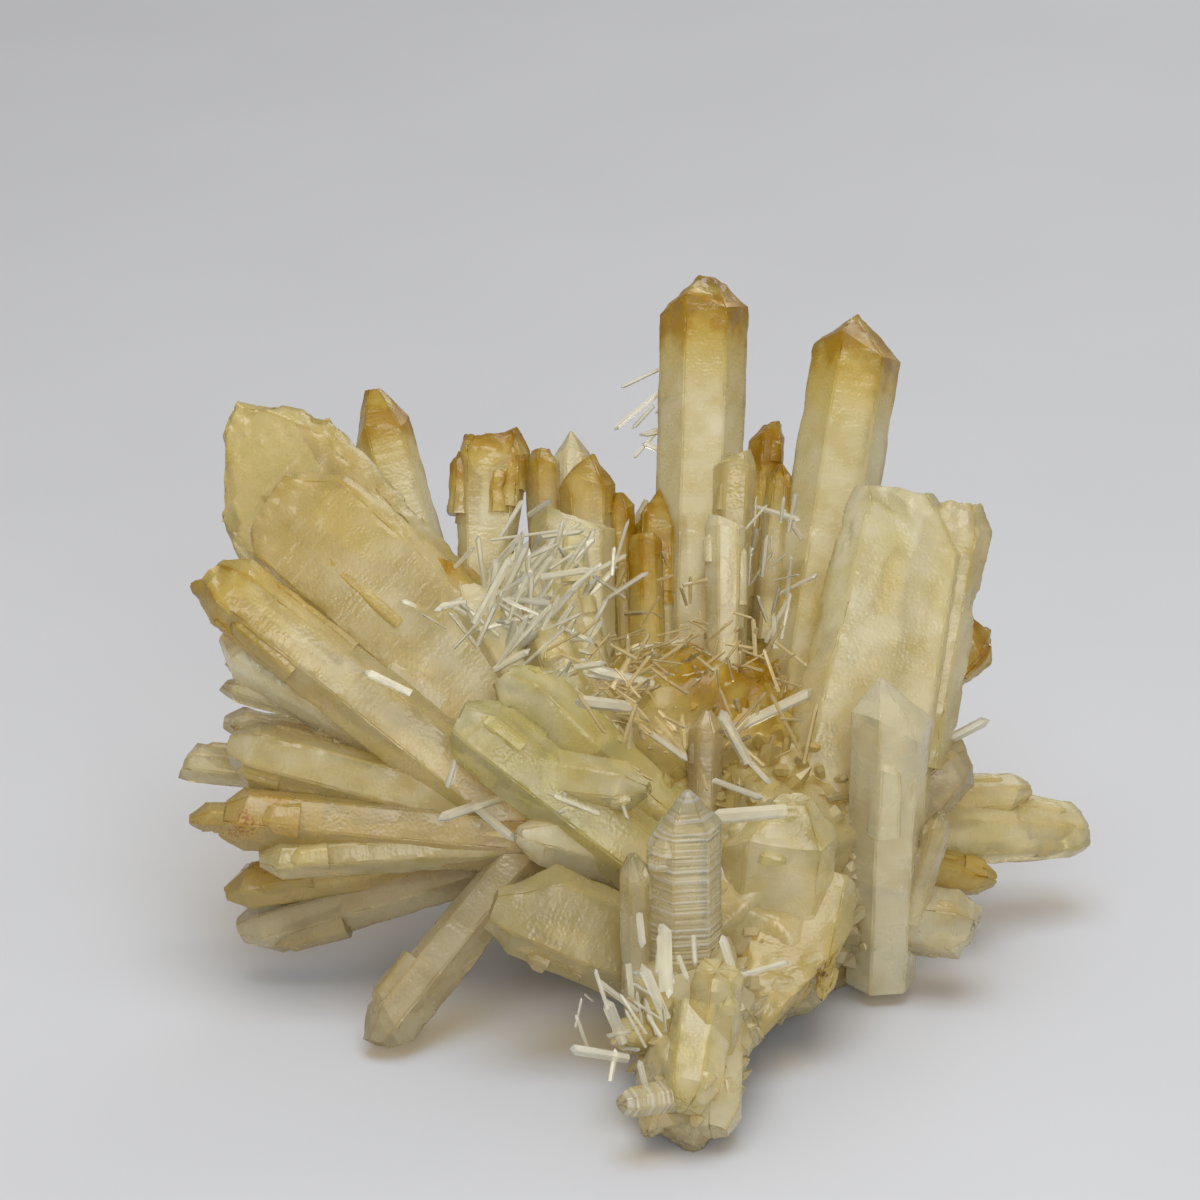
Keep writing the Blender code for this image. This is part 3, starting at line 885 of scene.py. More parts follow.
@dataclass(frozen=True)
class QuartzFinish:
    """Satin, cloudy quartz whose colours follow its traits.

    Attributes:
        name: The material's name.
        straw: Its usual colour. Green, milk, grey, amber and rust are mixed in by the traits of those names.
        deep_amber: Its colour where amber is strongest.
        dirt: The colour of the small dark specks among rust.
        glint: The colour of the painted glints: pale lines painted on the growth lines as a painted
            highlight.
        see: The see-through share of a wholly cloudy spot, and what full clearness adds to it.
        rough: Roughness where the veil is thin, what a full veil adds to it, and what rust adds.
        lamp_tint: What each face lets through of a lamp's light.
        tint: What the clear part lets through.
        tint_density: How fast the tint grows with depth, per metre.
        grain_size: Size of the fine grain, in mm.
        amber_share: How much of its colour amber covers, before the veil makes it more or less.
        deep_band: From which share to which the deep amber comes in.
        rust_veil: Where in the veil rust begins and is full, and rust_grain where in the grain.
        speck_band: Where in the grain specks begin and are full, and speck_share how strong they are.
        line_band: How strong a crystal's growth lines have to be to get painted glints.
        glint_band: Where in the growth noise the painted glint lines begin and are full.
        glint_share: How strong the painted glints are.
        line_scale: Growth lines for each mm.
        relief: The relief's depth in mm, then the grain's share of it and the growth lines'.
    """

    name: str = "satin_quartz"
    straw: Colour = rgb(0.68, 0.55, 0.25)
    green: Colour = rgb(0.64, 0.57, 0.21)
    amber: Colour = rgb(0.60, 0.40, 0.02)
    deep_amber: Colour = rgb(0.44, 0.23, 0.0)
    milk: Colour = rgb(0.80, 0.73, 0.49)
    grey: Colour = rgb(0.46, 0.37, 0.22)
    rust: Colour = rgb(0.30, 0.12, 0.02)
    dirt: Colour = rgb(0.18, 0.13, 0.06)
    glint: Colour = rgb(0.98, 0.97, 0.92)
    see: tuple[float, float] = (0.28, 0.45)
    rough: tuple[float, float, float] = (0.08, 0.36, 0.3)
    lamp_tint: Colour = rgb(0.70, 0.58, 0.28)
    tint: tuple[float, float, float] = (0.95, 0.86, 0.6)
    tint_density: float = 30.0
    grain_size: float = 0.45
    amber_share: float = 0.95
    deep_band: tuple[float, float] = (0.6, 1.05)
    rust_veil: tuple[float, float] = (0.38, 0.62)
    rust_grain: tuple[float, float] = (0.3, 0.7)
    speck_band: tuple[float, float] = (0.78, 0.84)
    speck_share: float = 0.5
    line_band: tuple[float, float] = (0.5, 1.0)
    glint_band: tuple[float, float] = (0.54, 0.60)
    glint_share: float = 0.55
    line_scale: float = 1.3
    relief: tuple[float, float, float] = (0.16, 0.25, 2.5)

    def build(self) -> bpy.types.Material:
        """The finish as a material.

        Returns:
            The material, which reads the traits of the piece that wears it.
        """
        desk = NodeDesk(self.name)
        veil = desk.trait("veil")
        grain = desk.noise(self.grain_size)
        growth = self.growth_lines(desk)
        drift = desk.sum("SUBTRACT", veil, 0.5)
        stain = desk.sum("MULTIPLY", desk.trait("rust"), desk.step(veil, self.rust_veil))
        stain = desk.sum("MULTIPLY", stain, desk.step(grain, self.rust_grain))
        specks = desk.sum("MULTIPLY", desk.trait("rust"), self.speck_share)
        specks = desk.sum("MULTIPLY", desk.step(grain, self.speck_band), specks)
        # Painted highlight: pale glint lines painted on crystals with strong growth lines.
        striped = desk.step(desk.trait("lines"), self.line_band)
        glints = desk.sum("MULTIPLY", striped, desk.step(growth, self.glint_band))
        glints = desk.sum("MULTIPLY", glints, self.glint_share)
        colour = self.clouded(desk, drift)
        colour = desk.tint(stain, colour, self.rust)
        colour = desk.tint(specks, colour, self.dirt)
        colour = desk.tint(glints, colour, self.glint)
        desk.join(colour, desk.shader.inputs["Base Color"])
        rough = desk.sum("ADD", self.rough[0], desk.sum("MULTIPLY", veil, self.rough[1]))
        rough = desk.sum("ADD", rough, desk.sum("MULTIPLY", stain, self.rough[2]))
        desk.join(rough, desk.shader.inputs["Roughness"])
        see = desk.sum("ADD", self.see[0], desk.sum("MULTIPLY", desk.trait("clear"), self.see[1]))
        desk.let_out(desk.sum("SUBTRACT", see, desk.sum("ADD", stain, specks), clamp=True))
        desk.shader.inputs["IOR"].default_value = QUARTZ_IOR
        depth, grain_part, line_part = self.relief
        lines = desk.sum("MULTIPLY", desk.sum("MULTIPLY", desk.trait("lines"), line_part), growth)
        desk.bump(desk.sum("ADD", desk.sum("MULTIPLY", grain, grain_part), lines), depth)
        desk.pass_lamps(self.lamp_tint)
        desk.absorb(self.tint, self.tint_density)
        return desk.material

    def clouded(self, desk: NodeDesk, drift: bpy.types.NodeSocket) -> bpy.types.NodeSocket:
        """The colour before stains: straw or green, then milk, grey, amber and deep amber over it.

        Args:
            desk: The material's desk.
            drift: How far the veil is above or below its middle.

        Returns:
            The colour.
        """
        colour = desk.tint(desk.trait("green"), self.straw, self.green)
        colour = desk.tint(desk.sum("ADD", desk.trait("milk"), drift, clamp=True), colour, self.milk)
        colour = desk.tint(desk.trait("grey"), colour, self.grey)
        amber = desk.sum("ADD", self.amber_share, drift)
        amber = desk.sum("MULTIPLY", desk.trait("amber"), amber, clamp=True)
        colour = desk.tint(amber, colour, self.amber)
        return desk.tint(desk.step(amber, self.deep_band), colour, self.deep_amber)

    def growth_lines(self, desk: NodeDesk) -> bpy.types.NodeSocket:
        """Fine lines square to the crystal's axis: noise of the distance from the tip alone.

        Args:
            desk: The material's desk.

        Returns:
            Values about 0.5.
        """
        node = desk.add("ShaderNodeTexNoise", noise_dimensions="1D")
        desk.join(desk.trait("along"), node.inputs["W"])
        node.inputs["Scale"].default_value = self.line_scale
        node.inputs["Detail"].default_value = 1.0
        return node.outputs["Fac"]


@dataclass(frozen=True)
class ClearFinish:
    """Clear to whitish quartz, as in the needles.

    Attributes:
        name: The material's name.
        clear: Its colour where it is clearest.
        cloudy: Its colour where it is cloudiest.
        tint: What it lets through.
        tint_density: How fast the tint grows with depth, per metre.
        rough: Its roughness.
        lamp_tint: What each face lets through of a lamp's light.
        see_share: Its see-through share.
        cloud_size: Size of its clouds, in mm.
        relief_depth: How deep its faces wave, in mm.
    """

    name: str = "clear_quartz"
    clear: Colour = rgb(0.95, 0.92, 0.79)
    cloudy: Colour = rgb(0.90, 0.84, 0.62)
    tint: tuple[float, float, float] = (0.97, 0.93, 0.80)
    tint_density: float = 15.0
    rough: float = 0.12
    lamp_tint: Colour = rgb(0.99, 0.98, 0.93)
    see_share: float = 0.46
    cloud_size: float = 2.5
    relief_depth: float = 0.05

    def build(self) -> bpy.types.Material:
        """The finish as a material.

        Returns:
            The material.
        """
        desk = NodeDesk(self.name)
        cloud = desk.noise(self.cloud_size)
        desk.join(desk.tint(cloud, self.clear, self.cloudy), desk.shader.inputs["Base Color"])
        desk.shader.inputs["Roughness"].default_value = self.rough
        desk.shader.inputs["IOR"].default_value = QUARTZ_IOR
        desk.let_out(self.see_share)
        desk.bump(cloud, self.relief_depth)
        desk.pass_lamps(self.lamp_tint)
        desk.absorb(self.tint, self.tint_density)
        return desk.material


# The crystal groups


@dataclass(frozen=True)
class CrystalGroup:
    """Crystals that the photograph shows, each a piece of its own, and their parallel mates.

    Attributes:
        name: The group's name.
        crystals: The group's crystals.
        first_seed: The noise of the first crystal.
        seed_step: How far apart the crystals' seeds are.
        spacing: Distance between points, in mm.
    """

    name: str
    crystals: tuple[Crystal, ...]
    first_seed: int
    seed_step: int = 40
    spacing: float = 0.6

    def build(self, material: bpy.types.Material) -> None:
        """Makes each crystal's piece, and one piece of all their mates.

        Args:
            material: Their finish.
        """
        mates = []
        for number, crystal in enumerate(self.crystals):
            root, tip = VIEW.place(np.array([crystal.root, crystal.tip]))
            seed = self.first_seed + self.seed_step * number
            surface = CrystalSurface(crystal, root, tip, VIEW.toward_viewer, seed, self.spacing)
            surface.shell().piece(crystal.name, material)
            mates += surface.mates()
        if mates:
            Shell.joined(mates).piece(self.name + "_mates", material)


TALL_POINTS = CrystalGroup(
    "tall_points",
    (
        Crystal("tall_left_point", (15.2, 47.0, -20), (13.4, -22.0, -8), 13.4, 12.4, 5.5, (0.0, 0.1),
                (0.16, 0.14), 0.0, 0.95, 2, Tones.AMBER_DEEP, 0.3, 0.5, mates=0),
        Crystal("tall_right_point", (38.0, 40.6, -22), (28.6, -18.0, -9), 13.8, 12.4, 5.5, (0.2, 0.1),
                (0.1, 0.1), -0.6, 0.95, 4, Tones.AMBER_TIP, 0.35, 0.3, mates=0),
        Crystal("amber_point_behind_blade", (-33.4, 30.4, -27), (-22.5, -10.0, -18), 9.8, 8.0, 7.0,
                (-0.1, 0.0), (0.25, 0.2), 0.0, 1.1, 10, Tones.AMBER_TIP, 0.3, 0.2, mates=0),
    ),
    100,
)

UPPER_LEFT_BLADES = CrystalGroup(
    "upper_left_blades",
    (
        Crystal("back_blade", (-54.6, 25.4, -15), (-5.6, -25.6, -9), 25.0, 7.5, 12.0, (-0.12, 0.0),
                (0.22, 0.5), -1.5, 0.9, 0, Tones.STRAW_STAINED, 1.0, 0.4, frill=1.6, mates=3),
        Crystal("front_blade", (-47.2, 14.8, -6), (3.0, -30.0, 0), 21.5, 8.5, 5.5, (0.1, 0.2),
                (0.5, 0.5), -1.0, 0.9, 4, Tones.STRAW_STAINED, 0.5, 0.3, frill=0.8, mates=1),
        Crystal("long_left_point", (-56.6, 3.8, 7), (-8.0, -35.0, 6), 11.2, 9.5, 4.0, (0.0, 0.0),
                (0.55, 0.5), 0.8, 1.0, 8, Tones.ETCHED_TIP, 0.5, 0.6, mates=5),
        Crystal("under_long_point", (-55.4, -6.2, 1), (-14.0, -31.0, 2), 6.8, 8.0, 3.5, (-0.3, 0.0),
                (0.2, 0.4), 0.0, 1.0, 10, Tones.PALE, 0.4, 0.2),
        Crystal("upper_nub", (-54.6, -12.2, -7), (-20.0, -22.0, -6), 4.4, 4.6, 2.2, (0.0, 0.0),
                (0.5, 0.5), 0.5, 1.1, 0, Tones.CLEAR, 0.3, 0.2),
        Crystal("lower_nub", (-54.4, -17.2, -8), (-18.0, -25.0, -6), 4.8, 5.0, 2.4, (0.2, 0.0),
                (0.4, 0.4), 0.0, 1.1, 15, Tones.CLEAR, 0.3, 0.2),
    ),
    500,
)

LOWER_LEFT_FAN = CrystalGroup(
    "lower_left_fan",
    (
        Crystal("blunt_left_point", (-53.8, -21.4, 3), (-14.0, -32.0, 5), 10.2, 9.0, 4.0, (0.0, 0.1),
                (0.5, 0.5), -0.5, 1.0, 12, Tones.STRAW, 0.4, 0.2),
        Crystal("clear_left_tip", (-60.0, -23.4, -7), (-18.0, -28.0, -4), 6.0, 6.0, 1.6, (0.1, 0.0),
                (0.75, 0.7), 0.8, 1.1, 5, Tones.CLEAR, 0.2, 0.1),
        Crystal("rusty_point", (-54.6, -31.4, 8), (-10.0, -35.5, 8), 9.8, 9.0, 3.0, (0.0, 0.0),
                (0.6, 0.55), 0.6, 0.95, 20, Tones.RUSTY, 0.4, 0.3),
        Crystal("rusty_nub", (-59.4, -31.4, 5), (-40.0, -32.0, 6), 4.6, 5.0, 2.2, (0.2, 0.0),
                (0.35, 0.35), 0.0, 1.2, 0, Tones.RUSTY, 0.3, 0.2),
        Crystal("fan_point_upper", (-49.2, -37.6, 9), (-12.0, -34.8, 8), 6.4, 6.6, 2.8, (0.0, 0.0),
                (0.35, 0.35), 0.0, 1.25, 0, Tones.STRAW, 0.3, 0.1),
        Crystal("fan_point_behind", (-54.2, -42.0, 0), (-16.0, -36.0, 1), 7.2, 6.6, 3.4, (0.2, 0.1),
                (0.3, 0.3), 0.0, 1.0, 25, Tones.RUSTY, 0.3, 0.1),
        Crystal("fan_point_lower", (-51.8, -48.6, -5), (-14.0, -37.5, 2), 8.6, 8.2, 4.0, (-0.2, 0.0),
                (0.45, 0.4), 0.0, 0.9, 8, Tones.GREYISH, 0.3, 0.1),
        Crystal("leg_point", (-32.6, -64.0, 14.5), (-10.0, -36.0, 8), 8.8, 8.4, 3.6, (0.1, 0.0),
                (0.5, 0.5), -0.8, 0.9, 14, Tones.GREYISH, 0.3, 0.2),
    ),
    900,
)

FRONT_LEFT_POINTS = CrystalGroup(
    "front_left_points",
    (
        Crystal("green_point_lower", (-20.4, -17.0, 15), (8.0, -39.0, 13), 11.2, 9.0, 3.4, (0.1, 0.1),
                (0.6, 0.5), -0.8, 1.0, 10, Tones.YELLOW_GREEN, 0.5, 0.3),
        Crystal("green_point_upper", (-14.0, -10.6, 8), (8.0, -32.0, 6), 11.4, 8.6, 4.6, (0.0, 0.2),
                (0.4, 0.4), 0.0, 1.1, -12, Tones.YELLOW_GREEN, 0.4, 0.3),
        Crystal("pale_cross_point", (7.0, -27.4, 19), (-7.0, -25.6, 14), 7.0, 6.4, 3.0, (0.0, 0.0),
                (0.3, 0.3), 0.0, 1.2, 0, Tones.PALE_GREEN, 0.3, 0.2),
        Crystal("shield_point", (-15.0, -42.6, 24), (12.0, -54.0, 18), 14.6, 9.4, 5.5, (0.3, 0.1),
                (0.4, 0.3), 0.0, 1.0, 8, Tones.OLIVE, 0.3, 0.2),
        Crystal("shield_back_point", (-12.0, -34.0, 16), (6.0, -38.0, 10), 7.5, 7.0, 3.5, (0.0, 0.0),
                (0.4, 0.4), 0.0, 1.2, 20, Tones.PALE, 0.3, 0.2),
    ),
    1300,
)

FRONT_TOE = CrystalGroup(
    "front_toe",
    (
        Crystal("clear_front_point", (12.2, -27.4, 35), (12.2, -58.0, 27), 10.8, 10.0, 6.0, (-0.05, 0.2),
                (0.1, 0.1), 0.0, 1.0, 10, Tones.CLEAR, 0.2, 0.1, lines=1.0, mates=2),
        Crystal("clear_side_point", (5.2, -37.0, 33), (6.0, -58.0, 26), 4.8, 5.6, 3.0, (0.2, 0.0),
                (0.3, 0.3), 0.0, 1.2, 0, Tones.CLEAR, 0.2, 0.1),
        Crystal("toe_yellow_block", (17.0, -53.6, 43), (16.0, -68.0, 36), 7.8, 7.2, 1.6, (0.0, 0.0),
                (0.8, 0.75), 0.4, 1.05, 12, Tones.PALE_GREEN, 0.4, 0.2),
        Crystal("toe_side_point", (8.2, -56.5, 39), (10.0, -69.0, 34), 4.2, 4.6, 2.0, (0.0, 0.0),
                (0.4, 0.4), 0.0, 1.2, 0, Tones.STRAW, 0.3, 0.2),
        Crystal("toe_striped_point", (3.2, -73.0, 47), (18.0, -70.5, 40), 4.6, 5.0, 1.4, (0.0, 0.0),
                (0.6, 0.6), 0.0, 1.2, 0, Tones.CLEAR, 0.2, 0.1, lines=1.0, mates=1),
        Crystal("toe_lobe", (16.4, -77.0, 42), (15.0, -56.0, 32), 9.0, 8.5, 2.6, (-0.1, 0.0),
                (0.6, 0.6), 0.6, 1.4, 30, Tones.PALE, 0.4, 0.3),
        Crystal("toe_stub", (7.0, -77.4, 42), (11.0, -64.0, 34), 3.6, 4.0, 1.2, (0.0, 0.0),
                (0.6, 0.6), 0.0, 2.4, 0, Tones.CLEAR, 0.3, 0.2),
        Crystal("toe_left_point", (1.6, -63.5, 38), (12.0, -62.0, 32), 5.0, 5.4, 2.6, (0.0, 0.2),
                (0.4, 0.4), 0.0, 1.5, 0, Tones.STRAW, 0.3, 0.2),
        Crystal("toe_right_point", (21.4, -66.0, 37), (12.0, -60.0, 33), 8.0, 7.0, 2.6, (0.0, 0.0),
                (0.5, 0.5), 0.0, 1.2, 10, Tones.STRAW, 0.3, 0.2),
        Crystal("toe_front_block", (12.8, -73.5, 46), (15.0, -60.0, 38), 8.0, 7.0, 2.4, (0.0, 0.0),
                (0.6, 0.6), 0.0, 1.2, 15, Tones.PALE_GREEN, 0.4, 0.2),
    ),
    1700,
)

FRONT_RIGHT_POINTS = CrystalGroup(
    "front_right_points",
    (
        Crystal("rounded_pale_point", (27.0, -28.2, 22), (24.5, -50.0, 13), 16.6, 10.5, 6.5, (-0.1, 0.2),
                (0.34, 0.3), 0.0, 1.0, 4, Tones.PALE_GREEN, 0.5, 0.2, mates=2),
        Crystal("underside_slab", (24.6, -64.0, 24), (29.5, -40.0, 13), 16.5, 8.0, 11.0, (-0.45, 0.0),
                (0.35, 0.4), 0.0, 1.0, 2, Tones.STRAW_STAINED, 1.0, 0.4, frill=1.4, mates=7),
        Crystal("right_front_point", (42.4, -11.2, 15), (40.6, -55.0, -4), 12.2, 11.0, 6.2, (0.3, 0.1),
                (0.1, 0.1), 0.0, 0.85, 10, Tones.MILKY, 0.25, 0.1),
        Crystal("right_side_sliver", (49.4, -31.0, 8), (45.0, -46.0, 2), 3.8, 4.0, 2.0, (0.0, 0.0),
                (0.3, 0.3), 0.0, 1.3, 0, Tones.CLEAR, 0.2, 0.1),
        Crystal("right_foot_block", (54.6, -47.4, 2), (36.0, -45.0, -4), 10.6, 9.0, 2.4, (0.0, 0.1),
                (0.6, 0.6), 1.2, 1.1, 10, Tones.CLEAR, 0.5, 0.3),
        Crystal("right_upper_point", (53.4, -22.0, -5), (34.0, -40.0, -8), 9.0, 8.0, 3.0, (0.0, 0.1),
                (0.5, 0.5), 0.8, 1.2, 8, Tones.GREYISH, 0.4, 0.2),
        Crystal("right_long_point", (69.8, -33.4, -25), (40.0, -32.0, -15), 8.4, 8.6, 1.8, (0.0, 0.0),
                (0.75, 0.7), -0.6, 2.0, 12, Tones.STRAW, 0.4, 0.2),
        Crystal("right_long_shoulder", (62.0, -28.2, -20), (34.0, -30.0, -12), 6.4, 6.4, 3.0, (0.2, 0.0),
                (0.4, 0.4), 0.0, 1.5, 0, Tones.STRAW, 0.4, 0.2),
        Crystal("right_low_point", (57.6, -40.6, -14), (34.0, -36.0, -10), 6.0, 6.4, 2.8, (0.0, 0.0),
                (0.4, 0.4), 0.0, 1.4, 15, Tones.BROWN, 0.5, 0.3),
    ),
    2100,
)

RIGHT_BLADE = CrystalGroup(
    "right_blade_group",
    (
        Crystal("right_blade", (45.4, 15.2, -5), (34.0, -40.0, 0), 19.5, 9.5, 5.6, (0.3, 0.1),
                (0.6, 0.5), -0.6, 1.25, 8, Tones.PALE_GREEN, 0.4, 0.3, frill=0.8, mates=2),
        Crystal("right_druse_strip", (51.8, 13.8, -7), (45.0, -24.0, -4), 11.6, 8.5, 3.4, (0.0, 0.1),
                (0.6, 0.5), -1.0, 1.0, -2, Tones.STRAW, 1.0, 0.6, frill=1.4, mates=12),
        Crystal("right_druse_corner", (56.0, -3.6, -12), (34.0, -24.0, -8), 9.6, 7.4, 3.4, (0.2, 0.0),
                (0.5, 0.5), -0.6, 1.1, 0, Tones.AMBER_SHORT, 0.9, 0.6, frill=1.0, mates=5),
    ),
    2500,
)

INNER_POINTS = CrystalGroup(
    "inner_points",
    (
        Crystal("dark_rimmed_point", (19.6, 21.0, -9), (18.0, -14.0, -6), 6.3, 5.4, 1.6, (0.0, 0.0),
                (0.7, 0.6), -1.0, 0.95, 5, Tones.STRAW, 0.2, 0.1),
        Crystal("narrow_front_point", (18.2, 11.8, -3), (18.0, -24.0, -2), 6.4, 5.8, 1.2, (0.0, 0.0),
                (0.75, 0.7), 0.5, 0.75, 8, Tones.PALE, 0.2, 0.1),
        Crystal("small_amber_tip", (26.2, 20.0, -16), (24.0, -6.0, -12), 4.2, 4.2, 2.4, (0.0, 0.0),
                (0.2, 0.2), 0.0, 1.2, 0, Tones.AMBER_SHORT, 0.2, 0.1),
        Crystal("amber_knob", (24.4, 25.6, -24), (23.0, 0.0, -18), 5.8, 5.4, 2.4, (-0.2, 0.0),
                (0.5, 0.5), 0.0, 1.0, 12, Tones.AMBER_TIP, 0.4, 0.5),
        Crystal("scalloped_fan", (-15.6, 24.4, -16), (-17.4, -10.0, -10), 12.6, 7.5, 3.4, (0.0, 0.0),
                (0.66, 0.5), -0.8, 0.4, 4, Tones.AMBER_SHORT, 0.9, 0.6, frill=0.9, mates=10),
        Crystal("amber_beside_fan", (-8.6, 21.8, -19), (-7.0, -6.0, -12), 5.8, 5.4, 2.2, (0.0, 0.0),
                (0.5, 0.5), 0.0, 0.9, 20, Tones.AMBER_SHORT, 0.3, 0.3),
        Crystal("pale_back_point", (-4.2, 24.4, -25), (-4.0, -4.0, -16), 6.0, 5.6, 4.0, (0.0, 0.0),
                (0.12, 0.12), 0.0, 1.0, 10, Tones.PALE, 0.2, 0.1),
        Crystal("stained_round_point", (-2.0, 20.0, -13), (-1.0, -8.0, -8), 8.8, 6.6, 3.6, (0.1, 0.0),
                (0.4, 0.4), -1.2, 0.85, 0, Tones.AMBER_SHORT, 0.4, 0.3),
        Crystal("curved_top_point", (-4.2, 12.8, -6), (-3.0, -18.0, -2), 13.0, 8.4, 2.6, (0.2, 0.0),
                (0.6, 0.5), 1.4, 0.85, 4, Tones.PALE_GREEN, 0.4, 0.2),
        Crystal("slim_amber_point", (2.8, 15.4, -12), (4.0, -14.0, -8), 4.6, 4.8, 2.2, (0.0, 0.0),
                (0.3, 0.3), 0.0, 1.0, 0, Tones.AMBER_ALL, 0.2, 0.1),
        Crystal("flat_amber_point", (6.6, 9.4, -6), (7.0, -18.0, -2), 5.2, 5.2, 1.0, (0.0, 0.0),
                (0.8, 0.8), 0.0, 1.1, 10, Tones.AMBER_ALL, 0.2, 0.1),
        Crystal("pale_slim_tip", (6.6, 14.8, -17), (7.0, -8.0, -12), 4.2, 4.6, 3.0, (0.0, 0.0),
                (0.15, 0.15), 0.0, 1.1, 0, Tones.PALE, 0.2, 0.1),
        Crystal("white_inner_point", (-8.0, -3.0, 2), (-2.0, -22.0, 2), 9.0, 8.0, 3.0, (0.0, 0.0),
                (0.4, 0.4), 0.0, 1.3, 0, Tones.PALE_GREEN, 0.4, 0.2),
        Crystal("white_block_left", (-19.5, 2.0, -2), (-6.0, -22.0, -2), 9.0, 8.0, 3.0, (0.0, 0.0),
                (0.4, 0.4), 0.4, 1.1, 12, Tones.PALE, 0.5, 0.3),
        Crystal("white_block_middle", (-12.5, 6.5, -4), (-4.0, -22.0, -4), 9.5, 8.0, 3.0, (0.1, 0.0),
                (0.5, 0.4), 0.0, 1.1, 0, Tones.PALE, 0.5, 0.3),
        Crystal("white_block_right", (-4.6, 2.0, -1), (0.0, -22.0, 0), 8.0, 7.0, 2.6, (0.0, 0.0),
                (0.4, 0.4), -0.4, 1.2, 20, Tones.PALE, 0.5, 0.3),
        Crystal("grey_inner_point", (15.4, -16.0, 8), (15.0, -34.0, 6), 5.0, 5.0, 2.4, (0.0, 0.0),
                (0.3, 0.3), 0.0, 1.2, 0, Tones.GREYISH, 0.3, 0.2),
    ),
    2900,
)


GROUPS = (
    TALL_POINTS,
    UPPER_LEFT_BLADES,
    LOWER_LEFT_FAN,
    FRONT_LEFT_POINTS,
    FRONT_TOE,
    FRONT_RIGHT_POINTS,
    RIGHT_BLADE,
    INNER_POINTS,
)


# The back, the heart and the small growth


@dataclass(frozen=True)
class Radial:
    """One hidden crystal, by its bearing and rise from the heart.

    Attributes:
        bearing: Degrees counterclockwise from +X, so 90 points away from the viewer.
        rise: Degrees above the horizon.
        reach: Length in mm.
        width: Its section's width in mm.
        depth: Its section's thickness in mm.
        point: Length of the sloping end in mm.
        blunt: The share of the section left at the end.
        turn: Degrees about its own axis.
        tone: How it is coloured.
    """

    bearing: float
    rise: float
    reach: float
    width: float
    depth: float
    point: float = 6.0
    blunt: float = 0.08
    turn: float = 0.0
    tone: Tones = Tones.STRAW


@dataclass(frozen=True)
class BackPoints:
    """The crystals that the front view hides.

    Attributes:
        heart: Where they start, in mm.
        first_seed: The noise of the first crystal, and seed_step how far apart the crystals' seeds are.
        crystals: The crystals.
    """

    heart: Spot = (-4.0, 0.0, 25.0)
    first_seed: int = 3600
    seed_step: int = 40
    crystals: tuple[Radial, ...] = (
        Radial(168, 24, 50, 11.0, 9.5, 7.0, tone=Tones.PALE),
        Radial(152, 40, 54, 13.0, 9.0, 8.0, turn=20, tone=Tones.AMBER_TIP),
        Radial(146, 8, 50, 9.5, 9.0, 6.0, tone=Tones.GREYISH),
        Radial(128, 24, 55, 12.5, 10.5, 8.0, turn=10, tone=Tones.PALE_GREEN),
        Radial(118, 46, 52, 10.0, 9.0, 6.5, tone=Tones.AMBER_TIP),
        Radial(112, 4, 47, 9.0, 8.5, 6.0, 0.5, tone=Tones.RUSTY),
        Radial(100, 30, 56, 14.0, 11.0, 8.0, turn=-12, tone=Tones.AMBER_SHORT),
        Radial(88, 54, 50, 8.5, 8.0, 6.0, tone=Tones.AMBER_TIP),
        Radial(82, 12, 52, 11.0, 9.5, 7.0, turn=15, tone=Tones.STRAW),
        Radial(68, 36, 54, 12.0, 10.0, 7.5, tone=Tones.AMBER_SHORT),
        Radial(58, 8, 50, 10.0, 9.0, 6.5, turn=25, tone=Tones.PALE),
        Radial(48, 28, 52, 11.5, 8.5, 7.0, tone=Tones.YELLOW_GREEN),
        Radial(34, 4, 50, 9.0, 8.5, 6.0, 0.45, tone=Tones.GREYISH),
        Radial(24, 22, 47, 11.0, 9.0, 6.5, turn=-10, tone=Tones.STRAW),
        Radial(184, 4, 47, 8.0, 8.0, 5.0, tone=Tones.GREYISH),
        Radial(96, -12, 34, 10.0, 9.0, 5.0, 0.5, tone=Tones.BROWN),
        Radial(164, -16, 39, 9.0, 8.0, 4.5, turn=10, tone=Tones.STRAW),
        Radial(139, -13, 43, 10.0, 8.5, 5.0, tone=Tones.PALE_GREEN),
        Radial(118, -18, 39, 8.5, 8.0, 4.0, 0.3, tone=Tones.AMBER_SHORT),
        Radial(75, -13, 41, 9.5, 8.5, 5.0, turn=-15, tone=Tones.PALE),
        Radial(52, -16, 40, 9.0, 8.0, 4.5, tone=Tones.STRAW),
        Radial(30, -18, 39, 8.5, 8.0, 4.0, turn=20, tone=Tones.AMBER_SHORT),
    )

    def build(self, material: bpy.types.Material) -> None:
        """Makes each hidden crystal's piece, with its wide faces turned up, and their mates.

        Args:
            material: Their finish.
        """
        root = np.array(self.heart) * MM
        mates = []
        for number, one in enumerate(self.crystals):
            bearing, rise = math.radians(one.bearing), math.radians(one.rise)
            flat = math.cos(rise)
            way = np.array([math.cos(bearing) * flat, math.sin(bearing) * flat, math.sin(rise)])
            shape = Crystal(
                f"back_point_{number + 1:02d}", self.heart, self.heart, one.width, one.depth, one.point,
                blunt=(one.blunt, one.blunt), flare=0.85, turn=one.turn, tone=one.tone, ragged=0.35,
                etch=0.2, mates=6,
            )
            seed = self.first_seed + self.seed_step * number
            up = np.array([0.0, 0.0, 1.0])
            surface = CrystalSurface(shape, root, root + way * one.reach * MM, up, seed)
            surface.shell().piece(shape.name, material)
            mates += surface.mates()
        Shell.joined(mates).piece("back_mates", material)


